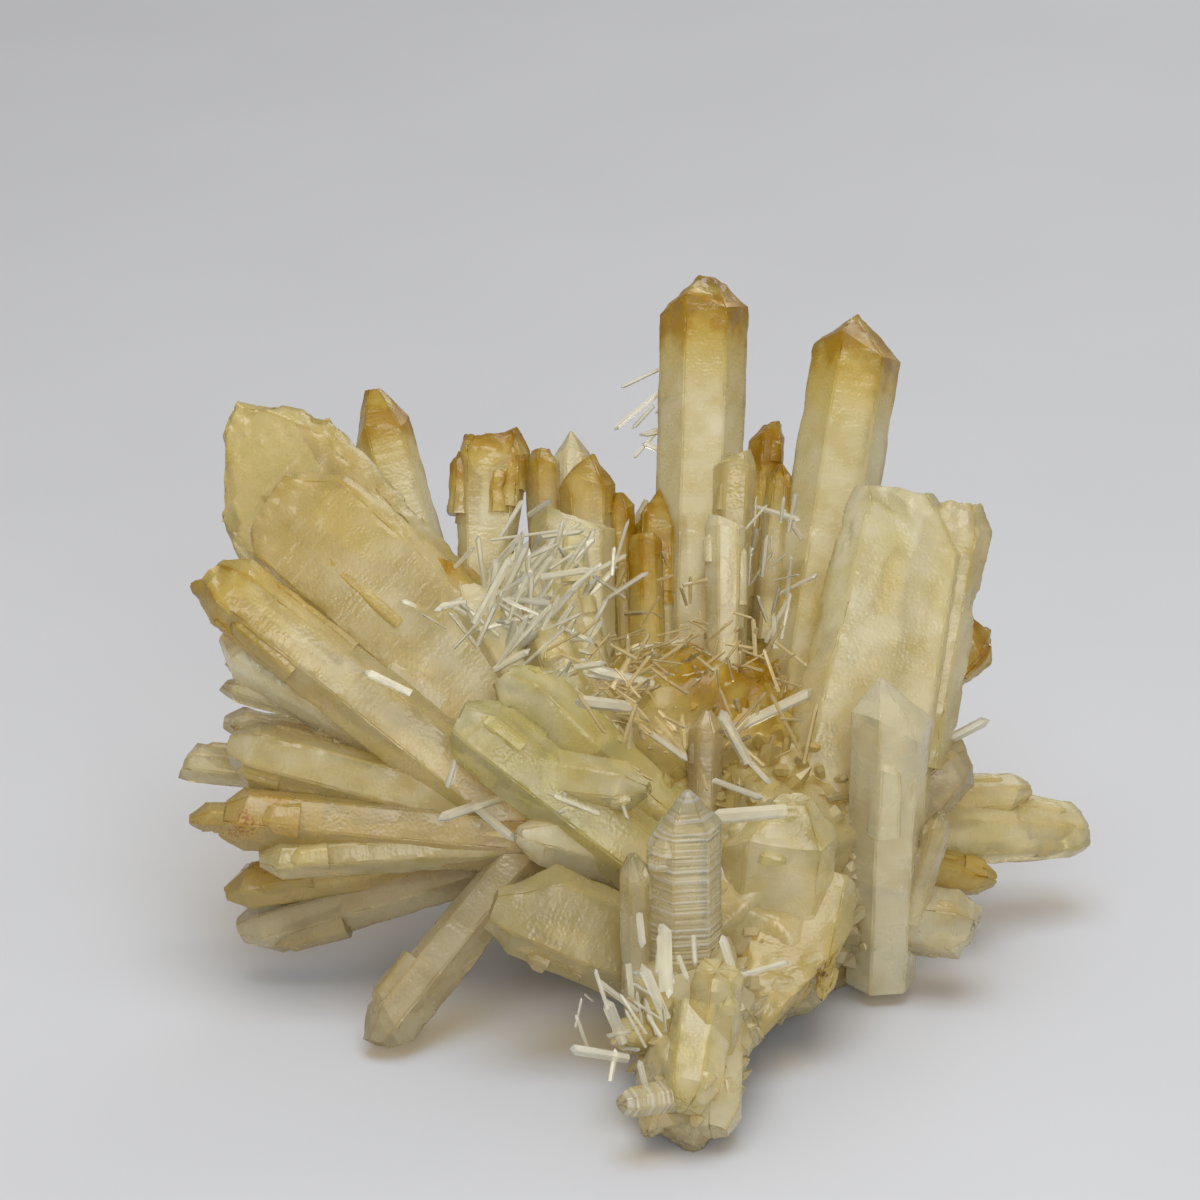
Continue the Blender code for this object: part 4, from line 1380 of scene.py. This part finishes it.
@dataclass(frozen=True)
class HeartColouring:
    """The middle's colours: golden brown about the hollow, a painted shade of the deep recess, and
    rust-brown toward the floor.

    Attributes:
        hollow: The hollow's middle, where the golden painted shade is strongest, as the viewpoint sees it,
            in mm.
        hollow_size: How far that painted shade reaches, in mm.
        floor_brown_height: Under this height the rust-brown colour begins, in mm.
    """

    hollow: Spot = (17.0, -8.0, -6.0)
    hollow_size: float = 19.0
    floor_brown_height: float = 7.0

    def traits(self, points: np.ndarray, seed: int) -> dict[str, np.ndarray]:
        """The middle's traits at every point.

        Gold falls off as a bell around the hollow, as painted shade of the deep recess, and a rust-brown
        colour grows toward the floor.

        Args:
            points: World points in metres.
            seed: Which noise.

        Returns:
            A value per point, by trait name.
        """
        # Painted shade: golden brown about the hollow, where the crystals lie deep and layered. It raises
        # amber and lowers milk and grey.
        away = np.linalg.norm(points - VIEW.place(np.array(self.hollow)), axis=-1) / MM
        gold = np.exp(-((away / self.hollow_size) ** 2))
        cloud = cloudy_noise(points, 0.007, seed)
        wisps = cloudy_noise(points, 0.004, seed + 5)
        # A rust-brown colour, darker towards the floor.
        low = 1 - smooth(points[..., 2] / MM + 4 * wisps, 0, self.floor_brown_height)
        return {
            "amber": np.clip(1.2 * gold + 0.2 * cloud, 0, 1),
            "green": np.clip(0.25 + 0.5 * cloud, 0, 1),
            "milk": np.clip(0.30 - 0.3 * gold + 0.6 * wisps, 0, 1),
            "grey": np.clip(0.12 - 0.2 * gold + 0.25 * cloud, 0, 1),
            "rust": np.clip(0.6 * low + 0.35 * smooth(wisps, 0.3, 0.8), 0, 1),
            "clear": np.clip(0.32 + 0.3 * wisps, 0.02, 1),
            "veil": 0.5 + 0.5 * cloudy_noise(points, VEIL_CELL, seed + 9),
            "lines": np.zeros(points.shape[:-1]),
            "along": points[..., 2] / MM,
        }


HEART_COLOURING = HeartColouring()
# Small crystals keep edges sharp that turn by more than this.
SMALL_SHARP_DEG = 30.0


@dataclass(frozen=True)
class Lump:
    """One many-faced stone of the grown-together middle.

    Attributes:
        centre: Its middle, in mm.
        half: Its half sizes, in mm.
        planes: How many flat faces it has.
        reach: How far out they lie, shortest and farthest, over the half size.
        reach_most: The farthest that a corner lies.
        steps: Size of its growth steps in metres, and their height in mm.
        grain: Size of its grain in metres, and its height in mm.
    """

    centre: Spot
    half: Spot

    planes: ClassVar[int] = 22
    reach: ClassVar[tuple[float, float]] = (0.84, 1.0)
    reach_most: ClassVar[float] = 1.16
    steps: ClassVar[tuple[float, float]] = (0.005, 0.7)
    grain: ClassVar[tuple[float, float]] = (0.0016, 0.35)

    def shell(self, seed: int, rings: int = 52, columns: int = 84) -> Shell:
        """The lump's surface: a stone with flat faces, drawn out to its half sizes.

        Each face is a plane, and a ray from the middle ends where it meets the first one: at the least of
        every plane's reach over the cosine between them. Noise then roughens it.

        Args:
            seed: Which planes and which noise.
            rings: Rings from the bottom to the top.
            columns: Points in a ring.

        Returns:
            The closed shell, cut flat at the floor.
        """
        rise = np.linspace(-np.pi / 2, np.pi / 2, rings + 2)[1:-1, None]
        turn = np.linspace(0, 2 * np.pi, columns, endpoint=False)[None, :]
        flat = np.cos(rise)
        upward = np.sin(rise) * np.ones_like(turn)
        ball = np.stack([flat * np.cos(turn), flat * np.sin(turn), upward], axis=-1)
        rng = np.random.default_rng(seed)
        planes = unit(rng.normal(size=(self.planes, 3)))
        reach = rng.uniform(*self.reach, self.planes)
        radius = (reach / np.maximum(ball @ planes.T, 1e-3)).min(axis=-1)
        radius = np.minimum(radius, self.reach_most)
        points = (np.array(self.centre) + ball * radius[..., None] * np.array(self.half)) * MM
        step_cell, step_height = self.steps
        grain_cell, grain_height = self.grain
        swell = stepped(lattice_noise(points, step_cell, seed), 3) * step_height
        swell = swell + lattice_noise(points, grain_cell, seed + 3) * grain_height
        points = points + unit(ball / np.array(self.half)) * swell[..., None] * MM
        points[..., 2] = np.maximum(points[..., 2], 0.0)
        # The middle's colours, with the golden painted shade about the hollow.
        return Shell.from_rings(points, HEART_COLOURING.traits(points, seed))


@dataclass(frozen=True)
class Heart:
    """The grown-together middle, and the stem that runs forward under it to the toe.

    Attributes:
        seed: The noise of the first lump.
        lumps: Its stones.
        sharp_deg: Edges that turn by more than this stay sharp.
    """

    seed: int = 4300
    lumps: tuple[Lump, ...] = (
        Lump((-4.0, 6.0, 22.0), (24.0, 20.0, 16.0)),
        Lump((0.0, 8.0, 5.0), (19.0, 17.0, 11.0)),
        Lump((14.0, 4.0, 24.0), (17.0, 17.0, 15.0)),
        Lump((-16.0, 2.0, 25.0), (13.0, 13.0, 11.0)),
        Lump((2.0, 10.0, 34.0), (19.0, 14.0, 12.0)),
        Lump((19.0, 6.0, 10.0), (12.0, 12.0, 12.0)),
        Lump((6.0, -14.0, 17.0), (14.0, 13.0, 12.0)),
        Lump((9.0, -17.0, 13.0), (11.0, 12.0, 12.5)),
        Lump((19.0, -3.0, 13.0), (12.0, 10.0, 12.5)),
        Lump((3.0, -25.0, 9.0), (9.5, 14.0, 9.5)),
        Lump((1.0, -36.0, 12.0), (9.0, 13.0, 9.0)),
        Lump((0.5, -45.0, 8.0), (7.5, 10.0, 7.0)),
        Lump((0.0, -51.0, 5.0), (5.6, 6.2, 5.8)),
    )
    sharp_deg: float = 60.0

    def build(self, material: bpy.types.Material) -> None:
        """Makes the middle as one piece.

        Args:
            material: Its finish.
        """
        shells = [lump.shell(self.seed + 10 * number) for number, lump in enumerate(self.lumps)]
        Shell.joined(shells).piece("heart", material, self.sharp_deg)


@dataclass
class Bundle:
    """Many small hexagonal crystals at once: a root ring, a shoulder ring and an apex each.

    Attributes:
        roots: Root points in metres, one a row.
        ways: Unit ways that they point.
        lengths: Lengths in metres.
        widths: Widths across corners in metres.
        slope: Length of the sloping end over the width.
        corners: Points that each crystal has. The last two are its apex and the middle of its root.
        root_share: The root's width over the shoulder's.
        shaft_least: The least share of the length that stays straight.
    """

    roots: np.ndarray
    ways: np.ndarray
    lengths: np.ndarray
    widths: np.ndarray
    slope: float = 0.8

    corners: ClassVar[int] = 14
    root_share: ClassVar[float] = 0.92
    shaft_least: ClassVar[float] = 0.15

    def points(self, rng: np.random.Generator) -> np.ndarray:
        """Every crystal's points: two rings of six, then the apex and the root's middle.

        Args:
            rng: Random numbers for the turns, the sections and the apexes.

        Returns:
            Points in metres as (crystals, 14, 3).
        """
        count = len(self.roots)
        steep = np.abs(self.ways[:, 2:]) >= 0.9
        helper = np.where(steep, np.array([1.0, 0.0, 0.0]), np.array([0.0, 0.0, 1.0]))
        across = unit(np.cross(helper, self.ways))
        through = np.cross(self.ways, across)
        turn = rng.uniform(0, np.pi / 3, count)[:, None] + np.arange(6) * np.pi / 3
        squash = rng.uniform(0.6, 1.0, count)[:, None]
        half = self.widths[:, None] / 2
        ring = across[:, None] * (np.cos(turn) * half)[..., None]
        ring = ring + through[:, None] * (np.sin(turn) * squash * half)[..., None]
        swing = rng.uniform(0.6, 1.4, (count, 6))
        sloped = self.widths[:, None] * self.slope * swing
        shoulder = np.maximum(self.lengths[:, None] - sloped, self.lengths[:, None] * self.shaft_least)
        low = self.roots[:, None] + ring * self.root_share
        high = self.roots[:, None] + ring + self.ways[:, None] * shoulder[..., None]
        lean = ring[:, 0] * rng.uniform(-0.5, 0.5, count)[:, None]
        apex = self.roots + self.ways * self.lengths[:, None] + lean
        return np.concatenate([low, high, apex[:, None], self.roots[:, None]], axis=1)

    def shell(self, rng: np.random.Generator, traits: dict[str, np.ndarray]) -> Shell:
        """One shell of closed crystals.

        Args:
            rng: Random numbers.
            traits: A value per crystal, by trait name.

        Returns:
            The shell. Its trait along is the distance from each crystal's tip, in mm.
        """
        points = self.points(rng)
        here = np.arange(6)
        beside = (here + 1) % 6
        quads = np.stack([here, beside, 6 + beside, 6 + here], axis=-1)
        apex, root = self.corners - 2, self.corners - 1
        tips = np.stack([6 + here, 6 + beside, np.full(6, apex)], axis=-1)
        bottoms = np.stack([beside, here, np.full(6, root)], axis=-1)
        offsets = np.arange(len(self.roots))[:, None, None] * self.corners
        even = np.ones((len(self.roots), self.corners))
        spread = {name: (even * values[:, None]).ravel() for name, values in traits.items()}
        from_tip = even * self.lengths[:, None] / MM
        from_tip[:, 6:root] = 0.0
        spread["along"] = from_tip.ravel()
        return Shell(
            points.reshape(-1, 3),
            (quads + offsets).reshape(-1, 4),
            (np.concatenate([tips, bottoms]) + offsets).reshape(-1, 3),
            spread,
        )


def tone_traits(tone: Tone, count: int) -> dict[str, np.ndarray]:
    """The tone's shares, the same for each of count crystals, with a middling veil and no growth lines."""
    shares = {name: getattr(tone, name) for name in ("amber", "green", "milk", "grey", "rust", "clear")}
    shares |= {"veil": 0.5, "lines": 0.0, "along": 1.0}
    return {name: np.full(count, share) for name, share in shares.items()}


@dataclass(frozen=True)
class Spray:
    """Clear needles that stand about a spot in a loose bunch.

    Attributes:
        centre: The bunch's middle, as the viewpoint sees it, in mm.
        spread: How far the needles' middles lie from it, right, up and near, in mm.
        count: How many.
        length: Shortest and longest, in mm.
        width: Thinnest and thickest, in mm.
        way: The way that they lean, right, up and near.
        loose: How far they stray from that way, 0 to 1.
        golden: Coloured golden as painted shade of the hollow that they stand in.
        slim: What the widths are multiplied by.
    """

    centre: Spot
    spread: Spot
    count: int
    length: tuple[float, float] = (4.0, 10.0)
    width: tuple[float, float] = (0.7, 1.5)
    way: Spot = (0.0, 0.6, 0.8)
    loose: float = 1.0
    golden: bool = False

    slim: ClassVar[float] = 0.85

    def shell(self, rng: np.random.Generator, tone: Tone) -> Shell:
        """The bunch's needles.

        Args:
            rng: Random numbers.
            tone: How they are coloured.

        Returns:
            One shell of closed needles.
        """
        spots = np.array(self.centre) + rng.normal(0, 0.5, (self.count, 3)) * np.array(self.spread)
        ways = unit(unit(np.array(self.way)) + rng.normal(0, 0.5, (self.count, 3)) * self.loose)
        world = VIEW.way(ways)
        lengths = rng.uniform(*self.length, self.count) * MM
        widths = rng.uniform(*self.width, self.count) * self.slim * MM
        roots = VIEW.place(spots) - world * lengths[:, None] * 0.5
        return Bundle(roots, world, lengths, widths).shell(rng, tone_traits(tone, self.count))


@dataclass(frozen=True)
class Needles:
    """All clear needles: loose bunches, and the ones that can be told apart.

    Attributes:
        seed: Random numbers' seed.
        sprays: The bunches.
        single: Tip, root and width of each that stands alone, in mm.
        single_slope: Length of their sloping ends over their widths.
    """

    seed: int = 7
    sprays: tuple[Spray, ...] = (
        Spray((-9.5, 1.0, 3.0), (10.0, 11.0, 5.0), 56, (5.0, 12.0), (0.8, 1.7), (0.55, 0.75, 0.45), 0.6),
        Spray((-17.0, -3.0, 2.0), (9.0, 7.0, 4.0), 19, (4.0, 9.0), (0.7, 1.4), (-0.7, 0.4, 0.5), 0.7),
        Spray((-3.0, 4.0, 2.0), (7.0, 8.0, 5.0), 21, (4.0, 9.0), (0.6, 1.4), (0.5, 0.6, 0.5), 0.8),
        Spray((-4.0, -10.0, 6.0), (8.0, 6.0, 4.0), 22, (4.0, 9.0), (0.6, 1.3), (0.8, 0.1, 0.5), 0.6),
        Spray((5.0, -9.0, 4.0), (8.0, 7.0, 5.0), 25, (4.0, 9.0), (0.5, 1.2), (0.6, 0.5, 0.5), 0.9, True),
        Spray((6.0, -19.0, 8.0), (9.0, 5.0, 5.0), 25, (4.0, 9.0), (0.5, 1.3), (0.5, -0.5, 0.6), 0.8, True),
        Spray((22.0, -20.0, 6.0), (8.0, 7.0, 4.0), 19, (4.0, 10.0), (0.6, 1.3), (0.3, 0.5, 0.6), 0.9, True),
        Spray((25.0, 5.0, -7.0), (6.0, 9.0, 4.0), 21, (3.0, 8.0), (0.5, 1.1), (0.3, 0.7, 0.4), 0.8),
        Spray((9.0, 2.0, -6.0), (7.0, 6.0, 4.0), 10, (4.0, 8.0), (0.5, 1.2), (0.0, 0.9, 0.4), 0.6, True),
        Spray((13.0, -8.0, 3.0), (13.0, 9.0, 4.0), 90, (3.0, 7.5), (0.45, 0.9), (0.2, 0.4, 0.8), 1.0, True),
        Spray((4.0, -13.0, 7.0), (9.0, 5.0, 3.0), 40, (3.0, 7.0), (0.45, 0.9), (0.5, -0.2, 0.8), 1.0, True),
        Spray((6.5, 25.0, -18.0), (4.0, 6.0, 2.0), 7, (4.0, 8.0), (0.6, 1.2), (-0.7, -0.4, 0.3), 0.9),
        Spray((5.0, -60.0, 43.0), (8.0, 7.0, 3.0), 16, (3.5, 7.0), (0.5, 1.1), (-0.3, 0.7, 0.4), 0.8),
        Spray((8.0, -52.0, 37.0), (7.0, 4.0, 3.0), 9, (4.0, 9.0), (0.7, 1.4), (0.2, -0.9, 0.4), 0.5),
        Spray((-3.0, -30.0, 18.0), (7.0, 3.0, 3.0), 7, (4.0, 8.0), (0.6, 1.3), (-0.6, 0.1, 0.6), 0.8),
    )
    single: tuple[tuple[Spot, Spot, float], ...] = (
        ((-23.6, -31.8, 15.0), (-14.0, -28.5, 11.0), 1.9),
        ((-12.2, -34.9, 16.0), (-18.0, -30.0, 12.0), 1.6),
        ((15.4, -31.6, 27.0), (27.0, -30.6, 25.0), 2.3),
        ((31.0, -13.2, 3.0), (18.0, -19.4, 6.0), 2.0),
        ((17.4, -16.0, 10.0), (21.4, -23.6, 9.0), 2.0),
        ((-3.6, -14.6, 12.0), (5.0, -15.6, 8.0), 2.0),
        ((-1.8, -10.0, 9.0), (7.6, -12.2, 6.0), 2.2),
        ((12.8, -5.8, 2.0), (4.6, -7.2, 0.0), 0.9),
        ((24.6, -26.6, 12.0), (21.6, -23.4, 8.0), 1.0),
        ((23.6, -28.8, 22.0), (16.6, -26.2, 16.0), 1.1),
        ((12.8, -23.2, 14.0), (7.4, -19.4, 8.0), 1.2),
        ((29.0, 11.6, -6.0), (22.0, 13.6, -10.0), 1.0),
        ((-0.6, -55.0, 38.0), (5.4, -59.6, 36.0), 1.2),
        ((0.8, -57.8, 43.0), (3.4, -64.0, 40.0), 1.8),
        ((-4.6, -65.0, 44.0), (4.0, -66.4, 41.0), 1.9),
        ((5.6, -66.6, 47.0), (7.0, -72.0, 45.0), 1.0),
        ((27.4, -52.4, 34.0), (19.0, -54.8, 38.0), 1.0),
        ((17.6, -48.4, 40.0), (19.6, -54.8, 41.0), 1.4),
        ((6.0, -52.6, 42.0), (9.6, -60.8, 42.0), 2.0),
        ((9.2, -46.8, 40.0), (9.6, -56.8, 41.0), 2.4),
        ((56.4, -17.2, -12.0), (47.0, -22.0, -10.0), 2.0),
        ((46.0, -19.0, -3.0), (50.0, -23.0, -8.0), 1.4),
        ((-34.4, -10.2, 12.0), (-27.4, -13.6, 12.0), 1.5),
        ((-20.6, -22.4, 16.0), (-22.0, -27.0, 14.0), 1.2),
        ((2.0, 24.6, -18.0), (9.0, 30.4, -19.0), 1.3),
        ((6.0, 22.8, -17.0), (11.0, 20.8, -16.0), 1.1),
    )
    single_slope: float = 0.6

    def build(self, material: bpy.types.Material, golden: bpy.types.Material) -> None:
        """Makes the needles as two pieces, the clear ones and those in the hollow, whose golden colour is
        painted shade.

        Args:
            material: The clear ones' finish.
            golden: The finish of those in the hollow.
        """
        rng = np.random.default_rng(self.seed)
        clear = Tones.CLEAR.value
        shells = [spray.shell(rng, clear) for spray in self.sprays if not spray.golden]
        hollow_shaded = [spray.shell(rng, clear) for spray in self.sprays if spray.golden]
        Shell.joined(hollow_shaded).piece("golden_needles", golden, SMALL_SHARP_DEG)
        tips = VIEW.place(np.array([tip for tip, _, _ in self.single]))
        roots = VIEW.place(np.array([root for _, root, _ in self.single]))
        widths = np.array([width for _, _, width in self.single]) * MM
        lengths = np.linalg.norm(tips - roots, axis=1)
        bundle = Bundle(roots, unit(tips - roots), lengths, widths, self.single_slope)
        shells.append(bundle.shell(rng, tone_traits(clear, len(self.single))))
        Shell.joined(shells).piece("needle_sprays", material, SMALL_SHARP_DEG)


@dataclass(frozen=True)
class Druse:
    """The crust of small crystals that covers the heart's lumps.

    Attributes:
        heart: The middle that it grows on.
        seed: Random numbers' seed.
        per_square_cm: How many grow on each square centimetre.
        length: Shortest and longest, in mm.
        width: Thinnest and thickest, in mm.
        sunk: The share of the length that is inside the lump.
        slope: Length of the sloping ends over the widths.
        stray: How far the crystals stray from straight out, 0 to 1.
        lowest: The least height of a spot, of a tip and of a root above the floor, in mm.
    """

    heart: Heart = field(default_factory=Heart)
    seed: int = 11
    per_square_cm: float = 9.0
    length: tuple[float, float] = (3.0, 6.5)
    width: tuple[float, float] = (1.4, 3.6)
    sunk: float = 0.55
    slope: float = 0.6
    stray: float = 0.45
    lowest: tuple[float, float, float] = (4.0, 2.0, 2.0)

    def build(self, material: bpy.types.Material) -> None:
        """Makes the crust as one piece.

        Spots go round each lump by the golden angle, at even steps of height, so they cover it evenly.

        Args:
            material: Its finish.
        """
        rng = np.random.default_rng(self.seed)
        shells = []
        for lump in self.heart.lumps:
            half = np.array(lump.half)
            area = 4 * math.pi * (np.prod(half) ** (2 / 3)) / 100
            count = round(area * self.per_square_cm)
            height = np.clip(np.linspace(-0.98, 0.98, count) + rng.normal(0, 0.01, count), -0.99, 0.99)
            turn = np.arange(count) * math.pi * (3 - math.sqrt(5))
            flat = np.sqrt(1 - height**2)
            ball = np.stack([flat * np.cos(turn), flat * np.sin(turn), height], axis=-1)
            surface = (np.array(lump.centre) + ball * half * 0.93) * MM
            ways = unit(unit(ball / half) + rng.normal(0, self.stray, (count, 3)))
            lengths = rng.uniform(*self.length, count) * MM
            widths = rng.uniform(*self.width, count) * MM
            roots = surface - ways * lengths[:, None] * self.sunk
            heights = np.stack([surface[:, 2], surface[:, 2] + ways[:, 2] * lengths, roots[:, 2]], axis=-1)
            keep = (heights > np.array(self.lowest) * MM).all(axis=-1)
            bundle = Bundle(roots[keep], ways[keep], lengths[keep], widths[keep], self.slope)
            # The crust takes the middle's colours, with the golden painted shade about the hollow.
            shells.append(bundle.shell(rng, HEART_COLOURING.traits(surface[keep], self.seed)))
        Shell.joined(shells).piece("druse", material, SMALL_SHARP_DEG)


# The studio


@dataclass(frozen=True)
class Studio:
    """A pale floor, soft light from above and a camera at the photograph's viewing angle.

    Attributes:
        floor_half: Half the floor's side, in metres.
        floor_colour: Its colour, and floor_mottle the colour of its fainter parts.
        mottle_size: Size of those, in mm.
        lit: The point that every light looks at, in metres.
        overhead: Where the light above stands, in metres, and overhead_power its power in watts.
        front: Where the light behind the camera stands, in metres, and front_power its power in watts.
        rear: Where the light at the back stands, in metres, and rear_power its power in watts.
        sky: Colour of the light from all round, and sky_strength its strength.
    """

    floor_half: float = 4.0
    floor_colour: Colour = rgb(0.74, 0.75, 0.78)
    floor_mottle: Colour = rgb(0.70, 0.71, 0.74)
    mottle_size: float = 60.0
    lit: Spot = (0.0, 0.0, 0.04)
    overhead: Spot = (0.0, -0.15, 0.70)
    overhead_power: float = 2.4
    front: Spot = (0.12, -0.85, 0.38)
    front_power: float = 2.1
    rear: Spot = (0.30, 0.75, 0.50)
    rear_power: float = 1.0
    sky: Colour = rgb(1.0, 0.98, 0.95)
    sky_strength: float = 0.36

    def build(self) -> None:
        """Makes the floor, the lights, the surroundings and the camera."""
        self.floor()
        self.light("overhead_softbox", self.overhead, 0.45, self.overhead_power)
        self.light("front_softbox", self.front, 0.40, self.front_power)
        self.light("rear_softbox", self.rear, 0.40, self.rear_power)
        self.surroundings()
        self.camera()

    def floor(self) -> None:
        """A large flat sheet of paper with a faint mottle."""
        desk = NodeDesk("floor_paper")
        cloud = desk.noise(self.mottle_size, 1.0)
        colour = desk.tint(cloud, self.floor_colour, self.floor_mottle)
        desk.join(colour, desk.shader.inputs["Base Color"])
        desk.shader.inputs["Roughness"].default_value = 0.85
        mesh = bpy.data.meshes.new("floor")
        half = self.floor_half
        corners = [(-half, -half, 0.0), (half, -half, 0.0), (half, half, 0.0), (-half, half, 0.0)]
        mesh.from_pydata(corners, [], [(0, 1, 2, 3)])
        mesh.materials.append(desk.material)
        linked("floor", mesh)

    def light(self, name: str, place: Spot, side: float, power: float) -> None:
        """A soft area light that looks at the cluster.

        Args:
            name: Its name.
            place: Where it stands, in metres.
            side: Its width and height, in metres.
            power: Its power in watts.
        """
        lamp = bpy.data.lights.new(name, "AREA")
        lamp.shape = "SQUARE"
        lamp.size = side
        lamp.energy = power
        made = linked(name, lamp)
        made.location = place
        made.rotation_euler = (Vector(self.lit) - Vector(place)).to_track_quat("-Z", "Y").to_euler()

    def surroundings(self) -> None:
        """Even pale light from all round."""
        world = bpy.data.worlds.new("studio")
        world.use_nodes = True
        sky = world.node_tree.nodes["Background"]
        sky.inputs["Color"].default_value = self.sky
        sky.inputs["Strength"].default_value = self.sky_strength
        bpy.context.scene.world = world

    def camera(self) -> None:
        """The photograph's camera."""
        eye = bpy.data.cameras.new("camera")
        eye.sensor_width = 36.0
        eye.lens = VIEW.lens
        eye.clip_start = 0.01
        made = linked("camera", eye)
        back = Vector(VIEW.toward_viewer)
        made.location = Vector(VIEW.aim) * MM + back * VIEW.distance * MM
        made.rotation_euler = (-back).to_track_quat("-Z", "Y").to_euler()
        bpy.context.scene.camera = made


def limit_bounces() -> None:
    """Keeps light paths short."""
    for name, limit in PATH_LIMITS.items():
        setattr(bpy.context.scene.cycles, name, limit)


def main() -> None:
    """Builds the cluster and its studio."""
    logging.basicConfig(level=logging.INFO, format="%(name)s: %(message)s")
    quartz = QuartzFinish().build()
    clear = ClearFinish().build()
    # Painted shade: the golden colour of the needles that stand in the hollow.
    golden = ClearFinish("golden_quartz", rgb(0.86, 0.72, 0.40), rgb(0.78, 0.60, 0.28)).build()
    for group in GROUPS:
        group.build(quartz)
    BackPoints().build(quartz)
    Heart().build(quartz)
    Druse().build(quartz)
    Needles().build(clear, golden)
    Studio().build()
    bpy.context.scene.view_settings.view_transform = "Standard"
    limit_bounces()


if __name__ == "__main__":
    main()
